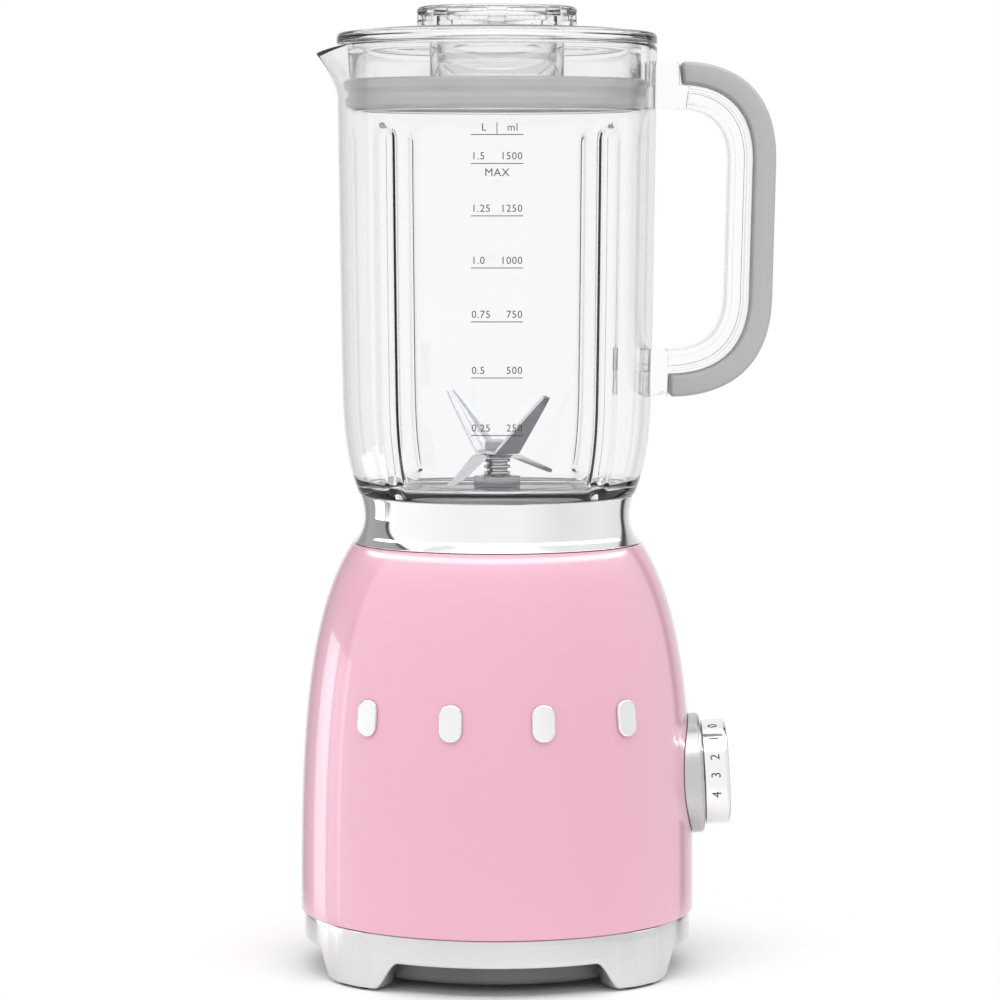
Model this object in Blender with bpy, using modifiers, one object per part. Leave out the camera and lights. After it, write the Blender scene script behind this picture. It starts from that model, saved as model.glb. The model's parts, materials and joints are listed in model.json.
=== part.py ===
"""Countertop blender: a motor base, a clear jug on a blade base, a lid and a lid cap.

Metres, +Z up. The object stands on z = 0 and its box is centred on the origin in plan, so the upright
axis that the motor, jug and lid share lies at x = AXIS_X. The handle and the control knob are on +X,
the pouring spout is on -X and the front is -Y.
"""

import math

import bmesh
import bpy
from mathutils import Matrix, Vector

# Driving dimensions. Each is set here once.
BODY_R = 0.0817           # widest radius of the housing
SHELL_H = 0.1523          # height of the housing
SHELL_WALL = 0.0026
COLLAR_R = 0.0596         # collar, at its foot
COLLAR_H = 0.0194
JUG_R = 0.0660            # jug, at its rim
JUG_BASE_R = 0.0569       # jug, at its foot
JUG_H = 0.1849            # jug, from the collar to the rim
JUG_WALL = 0.0030
NECK_H = 0.0120           # threaded neck under the jug, inside the collar
NECK_WALL = 0.0085
LID_H = 0.0060            # flange of the lid
LID_WALL = 0.0024
PLUG_DEPTH = 0.0275       # how far the lid goes down into the jug
CAP_R = 0.0329
CAP_H = 0.0091
CAP_SKIRT_R = 0.0247
CAP_SKIRT_H = 0.0190
RING_H = 0.0228           # foot ring, from the legs' soles to its top edge
RING_BAND_H = 0.0114      # height of the band above the arches
LEG_DEPTH = 0.0114        # of each leg, along the radius
LEG_START = 38.5          # degrees from the front or back to a leg's near side
LEG_END = 57.5            # and to its far side
FOOT_SHOW = 0.0010        # rubber showing under the legs
FOOT_SIZE = (0.0170, 0.0070, 0.0030)
HANDLE_OUT = 0.0486       # handle, beyond the jug's rim radius
HANDLE_H = 0.1376
HANDLE_DROP = 0.0067      # top of the handle below the rim
HANDLE_W = 0.0220
GRIP_W = 0.0240
GRIP_T = 0.0094
HANDLE_T = 0.0101         # clear part between the grip and the fingers
SPOUT_OUT = 0.0089
SPOUT_H = 0.0225
FLUTE_DEPTH = 0.0040
FLUTE_TOP = 0.0330        # below the rim
KNOB_Z = 0.0797
KNOB_R = 0.0219
KNOB_T = 0.0102
KNOB_TILT = 3.0           # degrees that the knob looks upwards
BEZEL_LIP = 0.0030        # bezel, beyond the knob
BEZEL_T = 0.0044          # bezel, proud of the housing
SPINDLE_R = 0.0030
STUD_Z = 0.1102
STUD_SIZE = (0.0095, 0.0150)
STUD_PROUD = 0.0016
STUD_ANGLES = (-41.0, -13.5, 13.5, 41.0)
MOTOR_R = 0.0380
BORE_R = 0.0226           # stator bore
CORE_R = 0.0220           # armature
STACK_H = 0.0440          # height of both laminated cores
SHAFT_R = 0.0040
BEARING_R = 0.0110
COMMUTATOR_R = 0.0120
COUPLING_R = 0.0090
BLADE_SHAFT_R = 0.0030
HUB_ACROSS = 0.0169       # hexagon on the blade base, across its flats
BLADE_T = 0.0014
GAP = 0.0003              # between pieces that touch
RUN_GAP = 0.0006          # round pieces that turn or slide

# Levels and radii that follow from them.
AXIS_X = (BODY_R - JUG_R - HANDLE_OUT) / 2
RING_TOP = FOOT_SHOW + RING_H
ARCH_TOP = RING_TOP - RING_BAND_H
SHELL_Z = RING_TOP + GAP
SHELL_TOP = SHELL_Z + SHELL_H
COLLAR_Z = SHELL_TOP + GAP
COLLAR_TOP = COLLAR_Z + COLLAR_H
JUG_Z = COLLAR_TOP + GAP
JUG_TOP = JUG_Z + JUG_H
LID_Z = JUG_TOP + GAP
LID_TOP = LID_Z + LID_H
CAP_Z = LID_TOP + GAP
CAP_TOP = CAP_Z + CAP_H
SHELL_TOP_R = COLLAR_R + 0.0004
NECK_R = JUG_BASE_R - 0.0065
NECK_BORE = NECK_R - NECK_WALL
NECK_Z = JUG_Z - NECK_H
SEAT_R = SHELL_TOP_R - SHELL_WALL - GAP
RING_R = BODY_R - GAP
PAN_R = RING_R - LEG_DEPTH - 0.0013
BEZEL_R = KNOB_R + BEZEL_LIP
JUG_INNER_R = JUG_R - JUG_WALL
PLUG_R = JUG_INNER_R - 0.0036
LIP_T = 0.0032            # collar's inner lip, which carries the blade carrier
GASKET_T = 0.0010
CARRIER_Z = COLLAR_Z + LIP_T + GAP
CARRIER_T = NECK_Z - CARRIER_Z - GASKET_T - 2 * GAP
SEAT_RING_R = 0.0450
STACK_Z = 0.0760
SHAFT_FOOT = 0.0260
COUPLING_Z = COLLAR_Z + LIP_T + 0.0010
COUPLING_H = 0.0085

SMOOTH = 32               # sides of a large round piece
MIDDLE = 20               # of a middling one
SMALL = 12                # and of a small one
SHARP = math.radians(35)

scene_parts = bpy.data.collections.new("countertop_blender")
cutters = bpy.data.collections.new("cutters")


# ---------------------------------------------------------------- helpers

def clear_scene():
    for old in list(bpy.data.objects):
        bpy.data.objects.remove(old, do_unlink=True)
    bpy.context.scene.collection.children.link(scene_parts)
    bpy.context.scene.collection.children.link(cutters)
    cutters.hide_render = True


def material(name, colour, roughness, metallic=0.0, transmission=0.0):
    found = bpy.data.materials.get(name)
    if found:
        return found
    made = bpy.data.materials.new(name)
    made.use_nodes = True
    shader = made.node_tree.nodes["Principled BSDF"]
    shader.inputs["Base Color"].default_value = (*colour, 1.0)
    shader.inputs["Roughness"].default_value = roughness
    shader.inputs["Metallic"].default_value = metallic
    shader.inputs["Transmission Weight"].default_value = transmission
    return made


MATERIALS = {
    "pink": ("pink_enamel", (0.86, 0.48, 0.63), 0.25),
    "chrome": ("polished_chrome", (0.80, 0.80, 0.81), 0.08, 1.0),
    "satin": ("satin_metal", (0.62, 0.61, 0.59), 0.35, 1.0),
    "steel": ("blade_steel", (0.60, 0.60, 0.61), 0.22, 1.0),
    "clear": ("clear_plastic", (0.93, 0.95, 0.95), 0.05, 0.0, 0.9),
    "grip": ("grey_grip", (0.52, 0.52, 0.53), 0.45),
    "seal": ("seal_silicone", (0.62, 0.63, 0.64), 0.50),
    "dark": ("dark_plastic", (0.06, 0.06, 0.065), 0.50),
    "rubber": ("black_rubber", (0.03, 0.03, 0.03), 0.80),
    "copper": ("copper_winding", (0.72, 0.32, 0.14), 0.35, 1.0),
    "iron": ("lamination_iron", (0.30, 0.31, 0.33), 0.45, 1.0),
    "brass": ("brass_fitting", (0.72, 0.55, 0.25), 0.35, 1.0),
    "carbon": ("carbon_brush_block", (0.05, 0.05, 0.055), 0.60),
    "board": ("green_board", (0.06, 0.25, 0.12), 0.50),
    "cream": ("cream_plastic", (0.78, 0.74, 0.62), 0.50),
}


def keep(obj, finish, parent):
    """Put a finished piece in the object's collection, with its finish, under its body's empty."""
    scene_parts.objects.link(obj)
    obj.data.materials.append(material(*MATERIALS[finish]))
    obj.parent = parent
    return obj


def as_cutter(obj, parent):
    cutters.objects.link(obj)
    obj.hide_render = True
    obj.display_type = "WIRE"
    obj.parent = parent
    return obj


def empty(name, place, parent=None):
    made = bpy.data.objects.new(name, None)
    made.empty_display_size = 0.02
    made.location = place
    made.parent = parent
    scene_parts.objects.link(made)
    return made


def mesh_object(name, build):
    """A new object whose mesh is whatever build(bm) makes."""
    bm = bmesh.new()
    build(bm)
    mesh = bpy.data.meshes.new(name)
    bm.to_mesh(mesh)
    bm.free()
    mesh.shade_smooth()
    mesh.set_sharp_from_angle(angle=SHARP)
    return bpy.data.objects.new(name, mesh)


def turned(name, profile, steps=SMOOTH):
    """A profile of (radius, height) turned about Z. It runs down its outer side and, on a ring, back up inside."""
    mesh = bpy.data.meshes.new(name)
    on_axis = abs(profile[0][0]) < 1e-9 and abs(profile[-1][0]) < 1e-9
    count = len(profile)
    edges = [(i, i + 1) for i in range(count - 1)]
    if not on_axis:
        edges.append((count - 1, 0))
    mesh.from_pydata([(r, 0.0, z) for r, z in profile], edges, [])
    obj = bpy.data.objects.new(name, mesh)
    screw = obj.modifiers.new("turn", "SCREW")
    screw.steps = steps
    screw.render_steps = steps
    screw.use_merge_vertices = True
    screw.merge_threshold = 1e-6
    screw.use_smooth_shade = True
    return obj


def disc(name, radius, low, high, bore=0.0, steps=SMALL):
    """A plain round piece between two heights, with an optional bore."""
    if bore:
        return turned(name, [(radius, high), (radius, low), (bore, low), (bore, high)], steps)
    return turned(name, [(0.0, high), (radius, high), (radius, low), (0.0, low)], steps)


def box(name, size, centre, turn=0.0, round_off=0.0):
    """A box on its centre, turned about Z by some degrees, with its edges rounded off."""
    def build(bm):
        bmesh.ops.create_cube(bm, size=1.0)
        bmesh.ops.scale(bm, vec=size, verts=bm.verts)
    obj = mesh_object(name, build)
    obj.matrix_basis = Matrix.Translation(centre) @ Matrix.Rotation(math.radians(turn), 4, "Z")
    if round_off:
        bevel = obj.modifiers.new("round", "BEVEL")
        bevel.width = round_off
        bevel.segments = 2
        bevel.limit_method = "ANGLE"
    return obj


def outline(name, loops, half_depth, bevel=0.0):
    """Flat closed loops of (x, y), the first one the outside, made a solid of twice the half depth."""
    curve = bpy.data.curves.new(name, "CURVE")
    curve.dimensions = "2D"
    curve.fill_mode = "BOTH"
    curve.extrude = half_depth - bevel
    curve.bevel_depth = bevel
    curve.bevel_resolution = 1
    curve.offset = -bevel
    for loop in loops:
        spline = curve.splines.new("POLY")
        spline.points.add(len(loop) - 1)
        for point, (x, y) in zip(spline.points, loop):
            point.co = (x, y, 0.0, 1.0)
        spline.use_cyclic_u = True
    drawn = bpy.data.objects.new(name, curve)
    cutters.objects.link(drawn)
    bpy.context.view_layer.update()
    graph = bpy.context.evaluated_depsgraph_get()
    mesh = bpy.data.meshes.new_from_object(drawn.evaluated_get(graph))
    bpy.data.objects.remove(drawn)
    bm = bmesh.new()
    bm.from_mesh(mesh)
    bmesh.ops.remove_doubles(bm, verts=bm.verts, dist=1e-6)
    bmesh.ops.recalc_face_normals(bm, faces=bm.faces)
    bm.to_mesh(mesh)
    bm.free()
    mesh.shade_smooth()
    mesh.set_sharp_from_angle(angle=SHARP)
    mesh.materials.clear()
    return bpy.data.objects.new(name, mesh)


def combine(target, other, operation, parent):
    """Join another shape to a piece, or cut it away, keeping the other as a hidden helper."""
    if other.name not in cutters.objects:
        as_cutter(other, parent)
    boolean = target.modifiers.new(other.name, "BOOLEAN")
    boolean.operation = operation
    boolean.object = other
    boolean.solver = "EXACT"
    return target


def bezier(start, pull, push, end, count):
    """Points along a cubic curve, both ends included."""
    points = []
    for i in range(count):
        t = i / (count - 1)
        weights = ((1 - t) ** 3, 3 * t * (1 - t) ** 2, 3 * t * t * (1 - t), t ** 3)
        corners = (start, pull, push, end)
        points.append(tuple(sum(w * c[k] for w, c in zip(weights, corners)) for k in (0, 1)))
    return points


def arc(centre, radius, start, end, count):
    """Points along an arc, angles in degrees, both ends included."""
    points = []
    for i in range(count):
        angle = math.radians(start + (end - start) * i / (count - 1))
        points.append((centre[0] + radius * math.cos(angle), centre[1] + radius * math.sin(angle)))
    return points


def star(points, inner, outer):
    """Outline of a splined coupling with this many rounded teeth."""
    steps = points * 4
    loop = []
    for i in range(steps):
        angle = 2 * math.pi * i / steps
        radius = outer if i % 4 in (0, 1) else inner
        loop.append((radius * math.cos(angle), radius * math.sin(angle)))
    return loop


def at_height(profile, z):
    """Radius of a profile of (radius, height) points that runs downwards, at one height."""
    for (r0, z0), (r1, z1) in zip(profile, profile[1:]):
        if z1 <= z <= z0:
            return r0 + (r1 - r0) * (z0 - z) / (z0 - z1)
    return profile[0][0] if z > profile[0][1] else profile[-1][0]


def polar(radius, degrees, z):
    angle = math.radians(degrees)
    return (radius * math.cos(angle), radius * math.sin(angle), z)


def moved(profile, out):
    return [(r + out, z) for r, z in profile]


# ---------------------------------------------------------------- motor base

def shell_side(count=9):
    """Outer side of the housing, top to bottom."""
    top = (SHELL_TOP_R, SHELL_TOP)
    shoulder = (BODY_R - 0.0027, SHELL_Z + 0.81 * SHELL_H)
    waist = (BODY_R, SHELL_Z + 0.47 * SHELL_H)
    side = bezier(top, shoulder, waist, (BODY_R, SHELL_Z + 0.0065), count)
    return side + [(BODY_R, SHELL_Z)]


def body_envelope(name):
    """A solid a little larger than the housing, which gives the backs of pieces that lie on it."""
    side = moved(shell_side(12), GAP)
    return turned(name, [(0.0, SHELL_TOP)] + side + [(0.0, SHELL_Z)], SMOOTH * 2)


def make_body_shell(root, knob_axis):
    outer = shell_side()
    inner = moved(shell_side(6), -SHELL_WALL)[::-1]
    shell = turned("body_shell", outer + inner)
    pillar_foot = SHELL_Z - 0.0165
    for i in range(4):
        angle = 45 + 90 * i
        rib = box(f"rib_{i}", (0.0240, 0.0050, 0.0300), polar(BODY_R - 0.0134, angle, SHELL_Z + 0.0200), angle)
        pillar = disc(f"pillar_{i}", 0.0050, pillar_foot, SHELL_Z + 0.0350, steps=12)
        pillar.location = polar(BODY_R - 0.0250, angle, 0)
        hole = disc(f"pillar_hole_{i}", 0.0022, pillar_foot - 0.01, SHELL_Z + 0.0250, steps=12)
        hole.location = pillar.location
        combine(shell, rib, "UNION", root)
        combine(shell, pillar, "UNION", root)
        combine(shell, hole, "DIFFERENCE", root)
    spindle_hole = disc("spindle_hole", 0.0070, -0.02, 0.02)
    combine(shell, spindle_hole, "DIFFERENCE", knob_axis)
    lead_hole = disc("lead_hole", GLAND_R + GAP, -0.02, 0.02)
    lead_hole.matrix_basis = gland_place()
    combine(shell, lead_hole, "DIFFERENCE", root)
    return keep(shell, "pink", root)


def tunnel(name, half_bottom, half_top):
    """Outline of an arch cut right through the foot ring: a flat top with a soft step down at each leg."""
    low = -0.01
    drop = 0.40 * (half_bottom - half_top)
    right = bezier((half_bottom, FOOT_SHOW), (half_bottom - drop, FOOT_SHOW + 0.0040),
                   (half_top + drop, ARCH_TOP), (half_top, ARCH_TOP), 8)
    loop = [(half_bottom, low)] + right + [(-x, z) for x, z in right[::-1]] + [(-half_bottom, low)]
    cutter = outline(name, [loop], BODY_R * 1.5)
    cutter.rotation_euler = (math.pi / 2, 0, 0)
    return cutter


def make_base_ring(root):
    inner = RING_R - 0.0046
    leg_in = RING_R - LEG_DEPTH
    lip = inner + 0.0020
    profile = [
        (inner, RING_TOP + 0.0038), (lip, RING_TOP + 0.0038), (lip, RING_TOP), (RING_R - 0.0006, RING_TOP),
        (RING_R, RING_TOP - 0.0006), (RING_R, FOOT_SHOW + 0.0008), (RING_R - 0.0008, FOOT_SHOW),
        (leg_in, FOOT_SHOW), (leg_in, ARCH_TOP - 0.0001), (inner, ARCH_TOP - 0.0001),
    ]
    ring = turned("base_ring", profile)
    edge = RING_R - 0.0004
    front = tunnel("arch_front_back", edge * math.sin(math.radians(LEG_START)),
                   edge * math.sin(math.radians(LEG_START - 7.5)))
    combine(ring, front, "DIFFERENCE", root)
    sides = tunnel("arch_left_right", edge * math.cos(math.radians(LEG_END)),
                   edge * math.cos(math.radians(LEG_END + 7.5)))
    sides.rotation_euler = (math.pi / 2, 0, math.pi / 2)
    combine(ring, sides, "DIFFERENCE", root)
    for name, x, y in FEET:
        pocket_size = (FOOT_SIZE[0] + 2 * GAP, FOOT_SIZE[1] + 2 * GAP, 2 * (FOOT_SIZE[2] + GAP))
        pocket = foot_box(f"pocket_{name}", pocket_size, x, y, 0.0)
        combine(ring, pocket, "DIFFERENCE", root)
    return keep(ring, "chrome", root)


FEET = (("front_left", -1, -1), ("front_right", 1, -1), ("rear_left", -1, 1), ("rear_right", 1, 1))


def foot_box(name, size, side_x, side_y, middle_z):
    from_front = math.radians((LEG_START + LEG_END) / 2)
    radius = RING_R - LEG_DEPTH / 2
    place = (side_x * radius * math.sin(from_front), side_y * radius * math.cos(from_front), middle_z)
    turn = math.degrees(math.atan2(place[1], place[0])) + 90
    return box(name, size, place, turn, round_off=0.0012)


def make_feet(root):
    for name, x, y in FEET:
        foot = foot_box(f"foot_{name}", FOOT_SIZE, x, y, FOOT_SIZE[2] / 2)
        keep(foot, "rubber", root)


def make_base_pan(root):
    flange_r = RING_R - 0.0046 - GAP
    floor_low = FOOT_SHOW + 0.0025
    floor_high = floor_low + 0.0025
    profile = [
        (0.0, floor_high), (PAN_R - 0.0025, floor_high), (PAN_R - 0.0025, ARCH_TOP + 0.0026),
        (flange_r, ARCH_TOP + 0.0026), (flange_r, ARCH_TOP + GAP), (PAN_R, ARCH_TOP + GAP),
        (PAN_R, floor_low + 0.0010), (PAN_R - 0.0010, floor_low), (0.0, floor_low),
    ]
    pan = turned("base_pan", profile)
    for i in range(5):
        slot = box(f"air_slot_{i}", (0.0440, 0.0034, 0.02), (0, (i - 2) * 0.0090, floor_low))
        combine(pan, slot, "DIFFERENCE", root)
    for i, (x, y) in enumerate(BOARD_POSTS):
        post = disc(f"board_post_{i}", 0.0030, floor_low + 0.001, BOARD_Z - GAP, steps=12)
        post.location = (x, y, 0)
        combine(pan, post, "UNION", root)
    for i in range(4):
        place = polar(BODY_R - 0.0250, 45 + 90 * i, 0)
        seat = disc(f"screw_seat_{i}", 0.0042, floor_low - 0.01, floor_low + 0.0014, steps=12)
        seat.location = place
        combine(pan, seat, "DIFFERENCE", root)
        through = disc(f"screw_way_{i}", 0.0022, floor_low - 0.01, floor_high + 0.01, steps=12)
        through.location = place
        combine(pan, through, "DIFFERENCE", root)
        screw = turned(f"pan_screw_{i + 1}", [
            (0.0, SHELL_Z + 0.0100), (0.0019, SHELL_Z + 0.0080), (0.0019, floor_low + 0.0014 - GAP),
            (0.0038, floor_low + 0.0014 - GAP), (0.0038, floor_low - 0.0004), (0.0, floor_low - 0.0004),
        ], 12)
        screw.location = place
        keep(screw, "steel", root)
    return keep(pan, "dark", root)


BOARD_Z = 0.0140
BOARD_SIZE = (0.0620, 0.0300, 0.0016)
BOARD_Y = 0.0380
BOARD_POSTS = ((-0.0250, BOARD_Y), (0.0250, BOARD_Y))


def make_control_board(root):
    middle = BOARD_Z + BOARD_SIZE[2] / 2
    board = box("control_board", BOARD_SIZE, (0, BOARD_Y, middle))
    for i, (x, size) in enumerate(((-0.020, 0.009), (-0.004, 0.006), (0.012, 0.011))):
        part = box(f"board_part_{i}", (size, size, 0.0080), (x, BOARD_Y, BOARD_Z + 0.0050))
        combine(board, part, "UNION", root)
    return keep(board, "board", root)


GLAND_R = 0.0066
GLAND_Z = 0.0380


def gland_place():
    """The gland's own Z points out of the back of the housing."""
    return Matrix.Translation((0, BODY_R, GLAND_Z)) @ Matrix.Rotation(-math.pi / 2, 4, "X")


def make_cord_gland(root):
    out = -0.0004
    recess = 0.0030
    gland = turned("cord_gland", [
        (0.0, out - recess), (GLAND_R - 0.0028, out - recess), (GLAND_R - 0.0028, out),
        (GLAND_R - 0.0008, out), (GLAND_R, out - 0.0008), (GLAND_R, -SHELL_WALL - 0.0012),
        (GLAND_R + 0.0025, -SHELL_WALL - 0.0012), (GLAND_R + 0.0025, -SHELL_WALL - 0.0040),
        (0.0, -SHELL_WALL - 0.0040),
    ], SMALL)
    gland.matrix_basis = gland_place()
    return keep(gland, "dark", root)


PIN_X = -0.0520
PIN_R = 0.0020
SWITCH_H = 0.0120


def make_seat(root):
    """The dark deck that the jug stands on, with its locating ring and the safety switch under it."""
    high = SHELL_TOP - 0.0006
    low = high - 0.0060
    bore = 0.0125
    profile = [
        (SEAT_RING_R - 0.0040, COLLAR_Z + LIP_T - GAP), (SEAT_RING_R, COLLAR_Z + LIP_T - GAP),
        (SEAT_RING_R, high), (SEAT_R, high), (SEAT_R, low), (bore, low), (bore, high - 0.0018),
        (SEAT_RING_R - 0.0040, high - 0.0018),
    ]
    seat = turned("seat_plate", profile)
    pin_hole = disc("pin_hole", PIN_R + RUN_GAP, low - 0.01, high + 0.01, steps=12)
    pin_hole.location = (PIN_X, 0, 0)
    combine(seat, pin_hole, "DIFFERENCE", root)
    posts_low = STACK_Z + STACK_H + 0.0250
    for i in range(4):
        post = disc(f"motor_post_{i}", 0.0045, posts_low + GAP, low + 0.001, steps=12)
        post.location = polar(MOTOR_R, 45 + 90 * i, 0)
        combine(seat, post, "UNION", root)
    keep(seat, "dark", root)
    seal = turned("motor_seal", [
        (SHAFT_R + 0.0022, high - 0.0002), (bore - GAP, high - 0.0030), (bore - GAP, low),
        (SHAFT_R + RUN_GAP, low), (SHAFT_R + RUN_GAP, high - 0.0002),
    ], SMALL)
    keep(seal, "rubber", root)

    pin_low = low - 0.0140
    pin_empty = empty("interlock_axis", (PIN_X, 0, 0), root)
    pin = turned("interlock_pin", [
        (0.0, high - 0.0002), (PIN_R, high - 0.0008), (PIN_R, low - 0.0030), (PIN_R + 0.0016, low - 0.0030),
        (PIN_R + 0.0016, low - 0.0044), (PIN_R, low - 0.0044), (PIN_R, pin_low), (0.0, pin_low),
    ], 12)
    keep(pin, "cream", pin_empty)
    spring_points = []
    turns, per_turn = 4, 8
    wire = 0.00035
    top = pin_low - 0.0036
    start, end = top + GAP + wire, low - 0.0044 - GAP - wire
    for i in range(turns * per_turn + 1):
        angle = 2 * math.pi * i / per_turn
        share = i / (turns * per_turn)
        radius = PIN_R + 0.0010
        spring_points.append((radius * math.cos(angle), radius * math.sin(angle), start + (end - start) * share))
    keep(wire_coil("interlock_spring", spring_points, wire), "steel", pin_empty)
    switch = box("interlock_switch", (0.0100, 0.0160, SWITCH_H), (PIN_X, 0, top - SWITCH_H / 2), round_off=0.0006)
    keep(switch, "dark", root)
    stay_x = PIN_X + 0.0050 + GAP + 0.0008
    stay = box("switch_stay", (0.0016, 0.0160, low - top + 0.0120), (stay_x, 0, (low + top) / 2 - 0.0050))
    combine(seat, stay, "UNION", root)


def wire_coil(name, points, radius):
    curve = bpy.data.curves.new(name, "CURVE")
    curve.dimensions = "3D"
    curve.bevel_depth = radius
    curve.bevel_resolution = 0
    curve.use_fill_caps = True
    spline = curve.splines.new("POLY")
    spline.points.add(len(points) - 1)
    for point, place in zip(spline.points, points):
        point.co = (*place, 1.0)
    return bpy.data.objects.new(name, curve)


# ---------------------------------------------------------------- motor

def make_motor_frames(root):
    """Both end frames, each with a pocket for its bearing."""
    upper_z = STACK_Z + STACK_H + 0.0200
    upper = turned("upper_bracket", [
        (MOTOR_R + 0.0060, upper_z + 0.0050), (MOTOR_R + 0.0060, upper_z), (BEARING_R + 0.0030, upper_z),
        (BEARING_R + 0.0030, upper_z - 0.0060), (BEARING_R + GAP, upper_z - 0.0060),
        (BEARING_R + GAP, upper_z + 0.0015), (SHAFT_R + 0.0020, upper_z + 0.0015),
        (SHAFT_R + 0.0020, upper_z + 0.0050),
    ], MIDDLE)
    keep(upper, "satin", root)
    bearing("upper_bearing", upper_z - 0.0058, root)

    lower_z = STACK_Z - 0.0300
    lower = turned("lower_bracket", [
        (MOTOR_R + 0.0060, lower_z + 0.0050), (MOTOR_R + 0.0060, lower_z), (SHAFT_R + 0.0020, lower_z),
        (SHAFT_R + 0.0020, lower_z + 0.0015), (BEARING_R + GAP, lower_z + 0.0015),
        (BEARING_R + GAP, lower_z + 0.0085), (BEARING_R + 0.0030, lower_z + 0.0085),
        (BEARING_R + 0.0030, lower_z + 0.0050),
    ], MIDDLE)
    for i in range(2):
        arm = box(f"brush_arm_{i}", (0.0120, 0.0100, 0.0090), ((2 * i - 1) * 0.0240, 0, lower_z + 0.0072))
        combine(lower, arm, "UNION", root)
    for i in range(4):
        post = disc(f"stack_post_{i}", 0.0040, lower_z + 0.002, STACK_Z - GAP, steps=12)
        post.location = polar(MOTOR_R, 45 + 90 * i, 0)
        combine(lower, post, "UNION", root)
    keep(lower, "satin", root)
    bearing("lower_bearing", lower_z + 0.0018, root)


def bearing(name, low, root):
    ring = disc(name, BEARING_R, low, low + 0.0060, bore=SHAFT_R + GAP)
    return keep(ring, "steel", root)


def make_stator(root):
    """A laminated frame with a pole at the front and the back, and a coil round each pole."""
    middle = STACK_Z + STACK_H / 2
    wide, deep, yoke, pole = 2 * MOTOR_R, 2 * MOTOR_R, 0.0070, 0.0200
    core = box("stator_core", (wide, deep, STACK_H), (0, 0, middle), round_off=0.0060)
    core.modifiers["round"].affect = "EDGES"
    window = box("stator_window", (wide - 2 * yoke, deep - 2 * yoke, 1.5 * STACK_H), (0, 0, middle))
    for i in range(2):
        pole_box = box(f"pole_{i}", (pole, MOTOR_R - BORE_R + 0.0080, 2 * STACK_H),
                       (0, (2 * i - 1) * (MOTOR_R + BORE_R - 0.0080) / 2, middle))
        combine(window, pole_box, "DIFFERENCE", root)
    combine(core, window, "DIFFERENCE", root)
    bore = disc("stator_bore", BORE_R, STACK_Z - 0.02, STACK_Z + STACK_H + 0.02, steps=MIDDLE)
    combine(core, bore, "DIFFERENCE", root)
    keep(core, "iron", root)
    inner_w, inner_h, wind = pole / 2 + GAP, STACK_H / 2 + GAP, 0.0060
    for name, side in (("field_coil_front", -1), ("field_coil_rear", 1)):
        outside = rounded_rectangle(inner_w + wind, inner_h + wind, 0.0050)
        inside = rounded_rectangle(inner_w, inner_h, 0.0003)
        coil = outline(name, [outside, inside], 0.0028)
        coil.rotation_euler = (math.pi / 2, 0, 0)
        coil.location = (0, side * (MOTOR_R - yoke - GAP - 0.0030), middle)
        keep(coil, "copper", root)


def rounded_rectangle(half_x, half_y, radius):
    loop = []
    for x, y, start in ((1, 1, 0), (-1, 1, 90), (-1, -1, 180), (1, -1, 270)):
        loop += arc((x * (half_x - radius), y * (half_y - radius)), radius, start, start + 90, 4)
    return loop


def make_rotor(rotor):
    shaft_top = COUPLING_Z + 0.0020
    shaft = disc("rotor_shaft", SHAFT_R, SHAFT_FOOT, shaft_top)
    keep(shaft, "steel", rotor)
    core = disc("armature_core", CORE_R, STACK_Z, STACK_Z + STACK_H, bore=SHAFT_R + GAP, steps=MIDDLE)
    for end, low in enumerate((STACK_Z - 0.0070, STACK_Z + STACK_H - 0.0010)):
        winding = disc(f"end_winding_{end}", CORE_R - 0.0035, low, low + 0.0080, bore=SHAFT_R + 0.0020, steps=MIDDLE)
        combine(core, winding, "UNION", rotor)
    keep(core, "copper", rotor)
    ring = disc("commutator", COMMUTATOR_R, STACK_Z - 0.0200, STACK_Z - 0.0076, bore=SHAFT_R + GAP)
    keep(ring, "brass", rotor)
    fan_z = STACK_Z - 0.0450
    hub = disc("cooling_fan", 0.0090, fan_z, fan_z + 0.0100, bore=SHAFT_R + GAP)
    plate = disc("fan_plate", MOTOR_R - 0.0040, fan_z + 0.0080, fan_z + 0.0096, bore=0.0080, steps=MIDDLE)
    combine(hub, plate, "UNION", rotor)
    for i in range(8):
        angle = 45 * i
        blade = box(f"fan_blade_{i}", (0.0250, 0.0014, 0.0090), polar(0.0205, angle, fan_z + 0.0045), angle)
        combine(hub, blade, "UNION", rotor)
    keep(hub, "cream", rotor)
    coupling = outline("drive_coupling", [star(6, COUPLING_R - 0.0018, COUPLING_R)], COUPLING_H / 2)
    coupling.location = (0, 0, COUPLING_Z + COUPLING_H / 2)
    socket = disc("coupling_socket", SHAFT_R + GAP, COUPLING_Z - 0.01, shaft_top + GAP)
    combine(coupling, socket, "DIFFERENCE", rotor)
    keep(coupling, "dark", rotor)


def make_brushes(root):
    brush_z = STACK_Z - 0.0138
    for name, side in (("left", -1), ("right", 1)):
        holder = box(f"brush_holder_{name}", (0.0180, 0.0086, 0.0086), (side * 0.0240, 0, brush_z))
        way = box(f"brush_way_{name}", (0.0170, 0.0056, 0.0056), (side * 0.0225, 0, brush_z))
        combine(holder, way, "DIFFERENCE", root)
        keep(holder, "brass", root)
        length = 0.0150
        middle = side * (COMMUTATOR_R + RUN_GAP + length / 2)
        brush = box(f"carbon_brush_{name}", (length, 0.0050, 0.0050), (middle, 0, brush_z))
        keep(brush, "carbon", root)


# ---------------------------------------------------------------- control knob and studs

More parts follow.
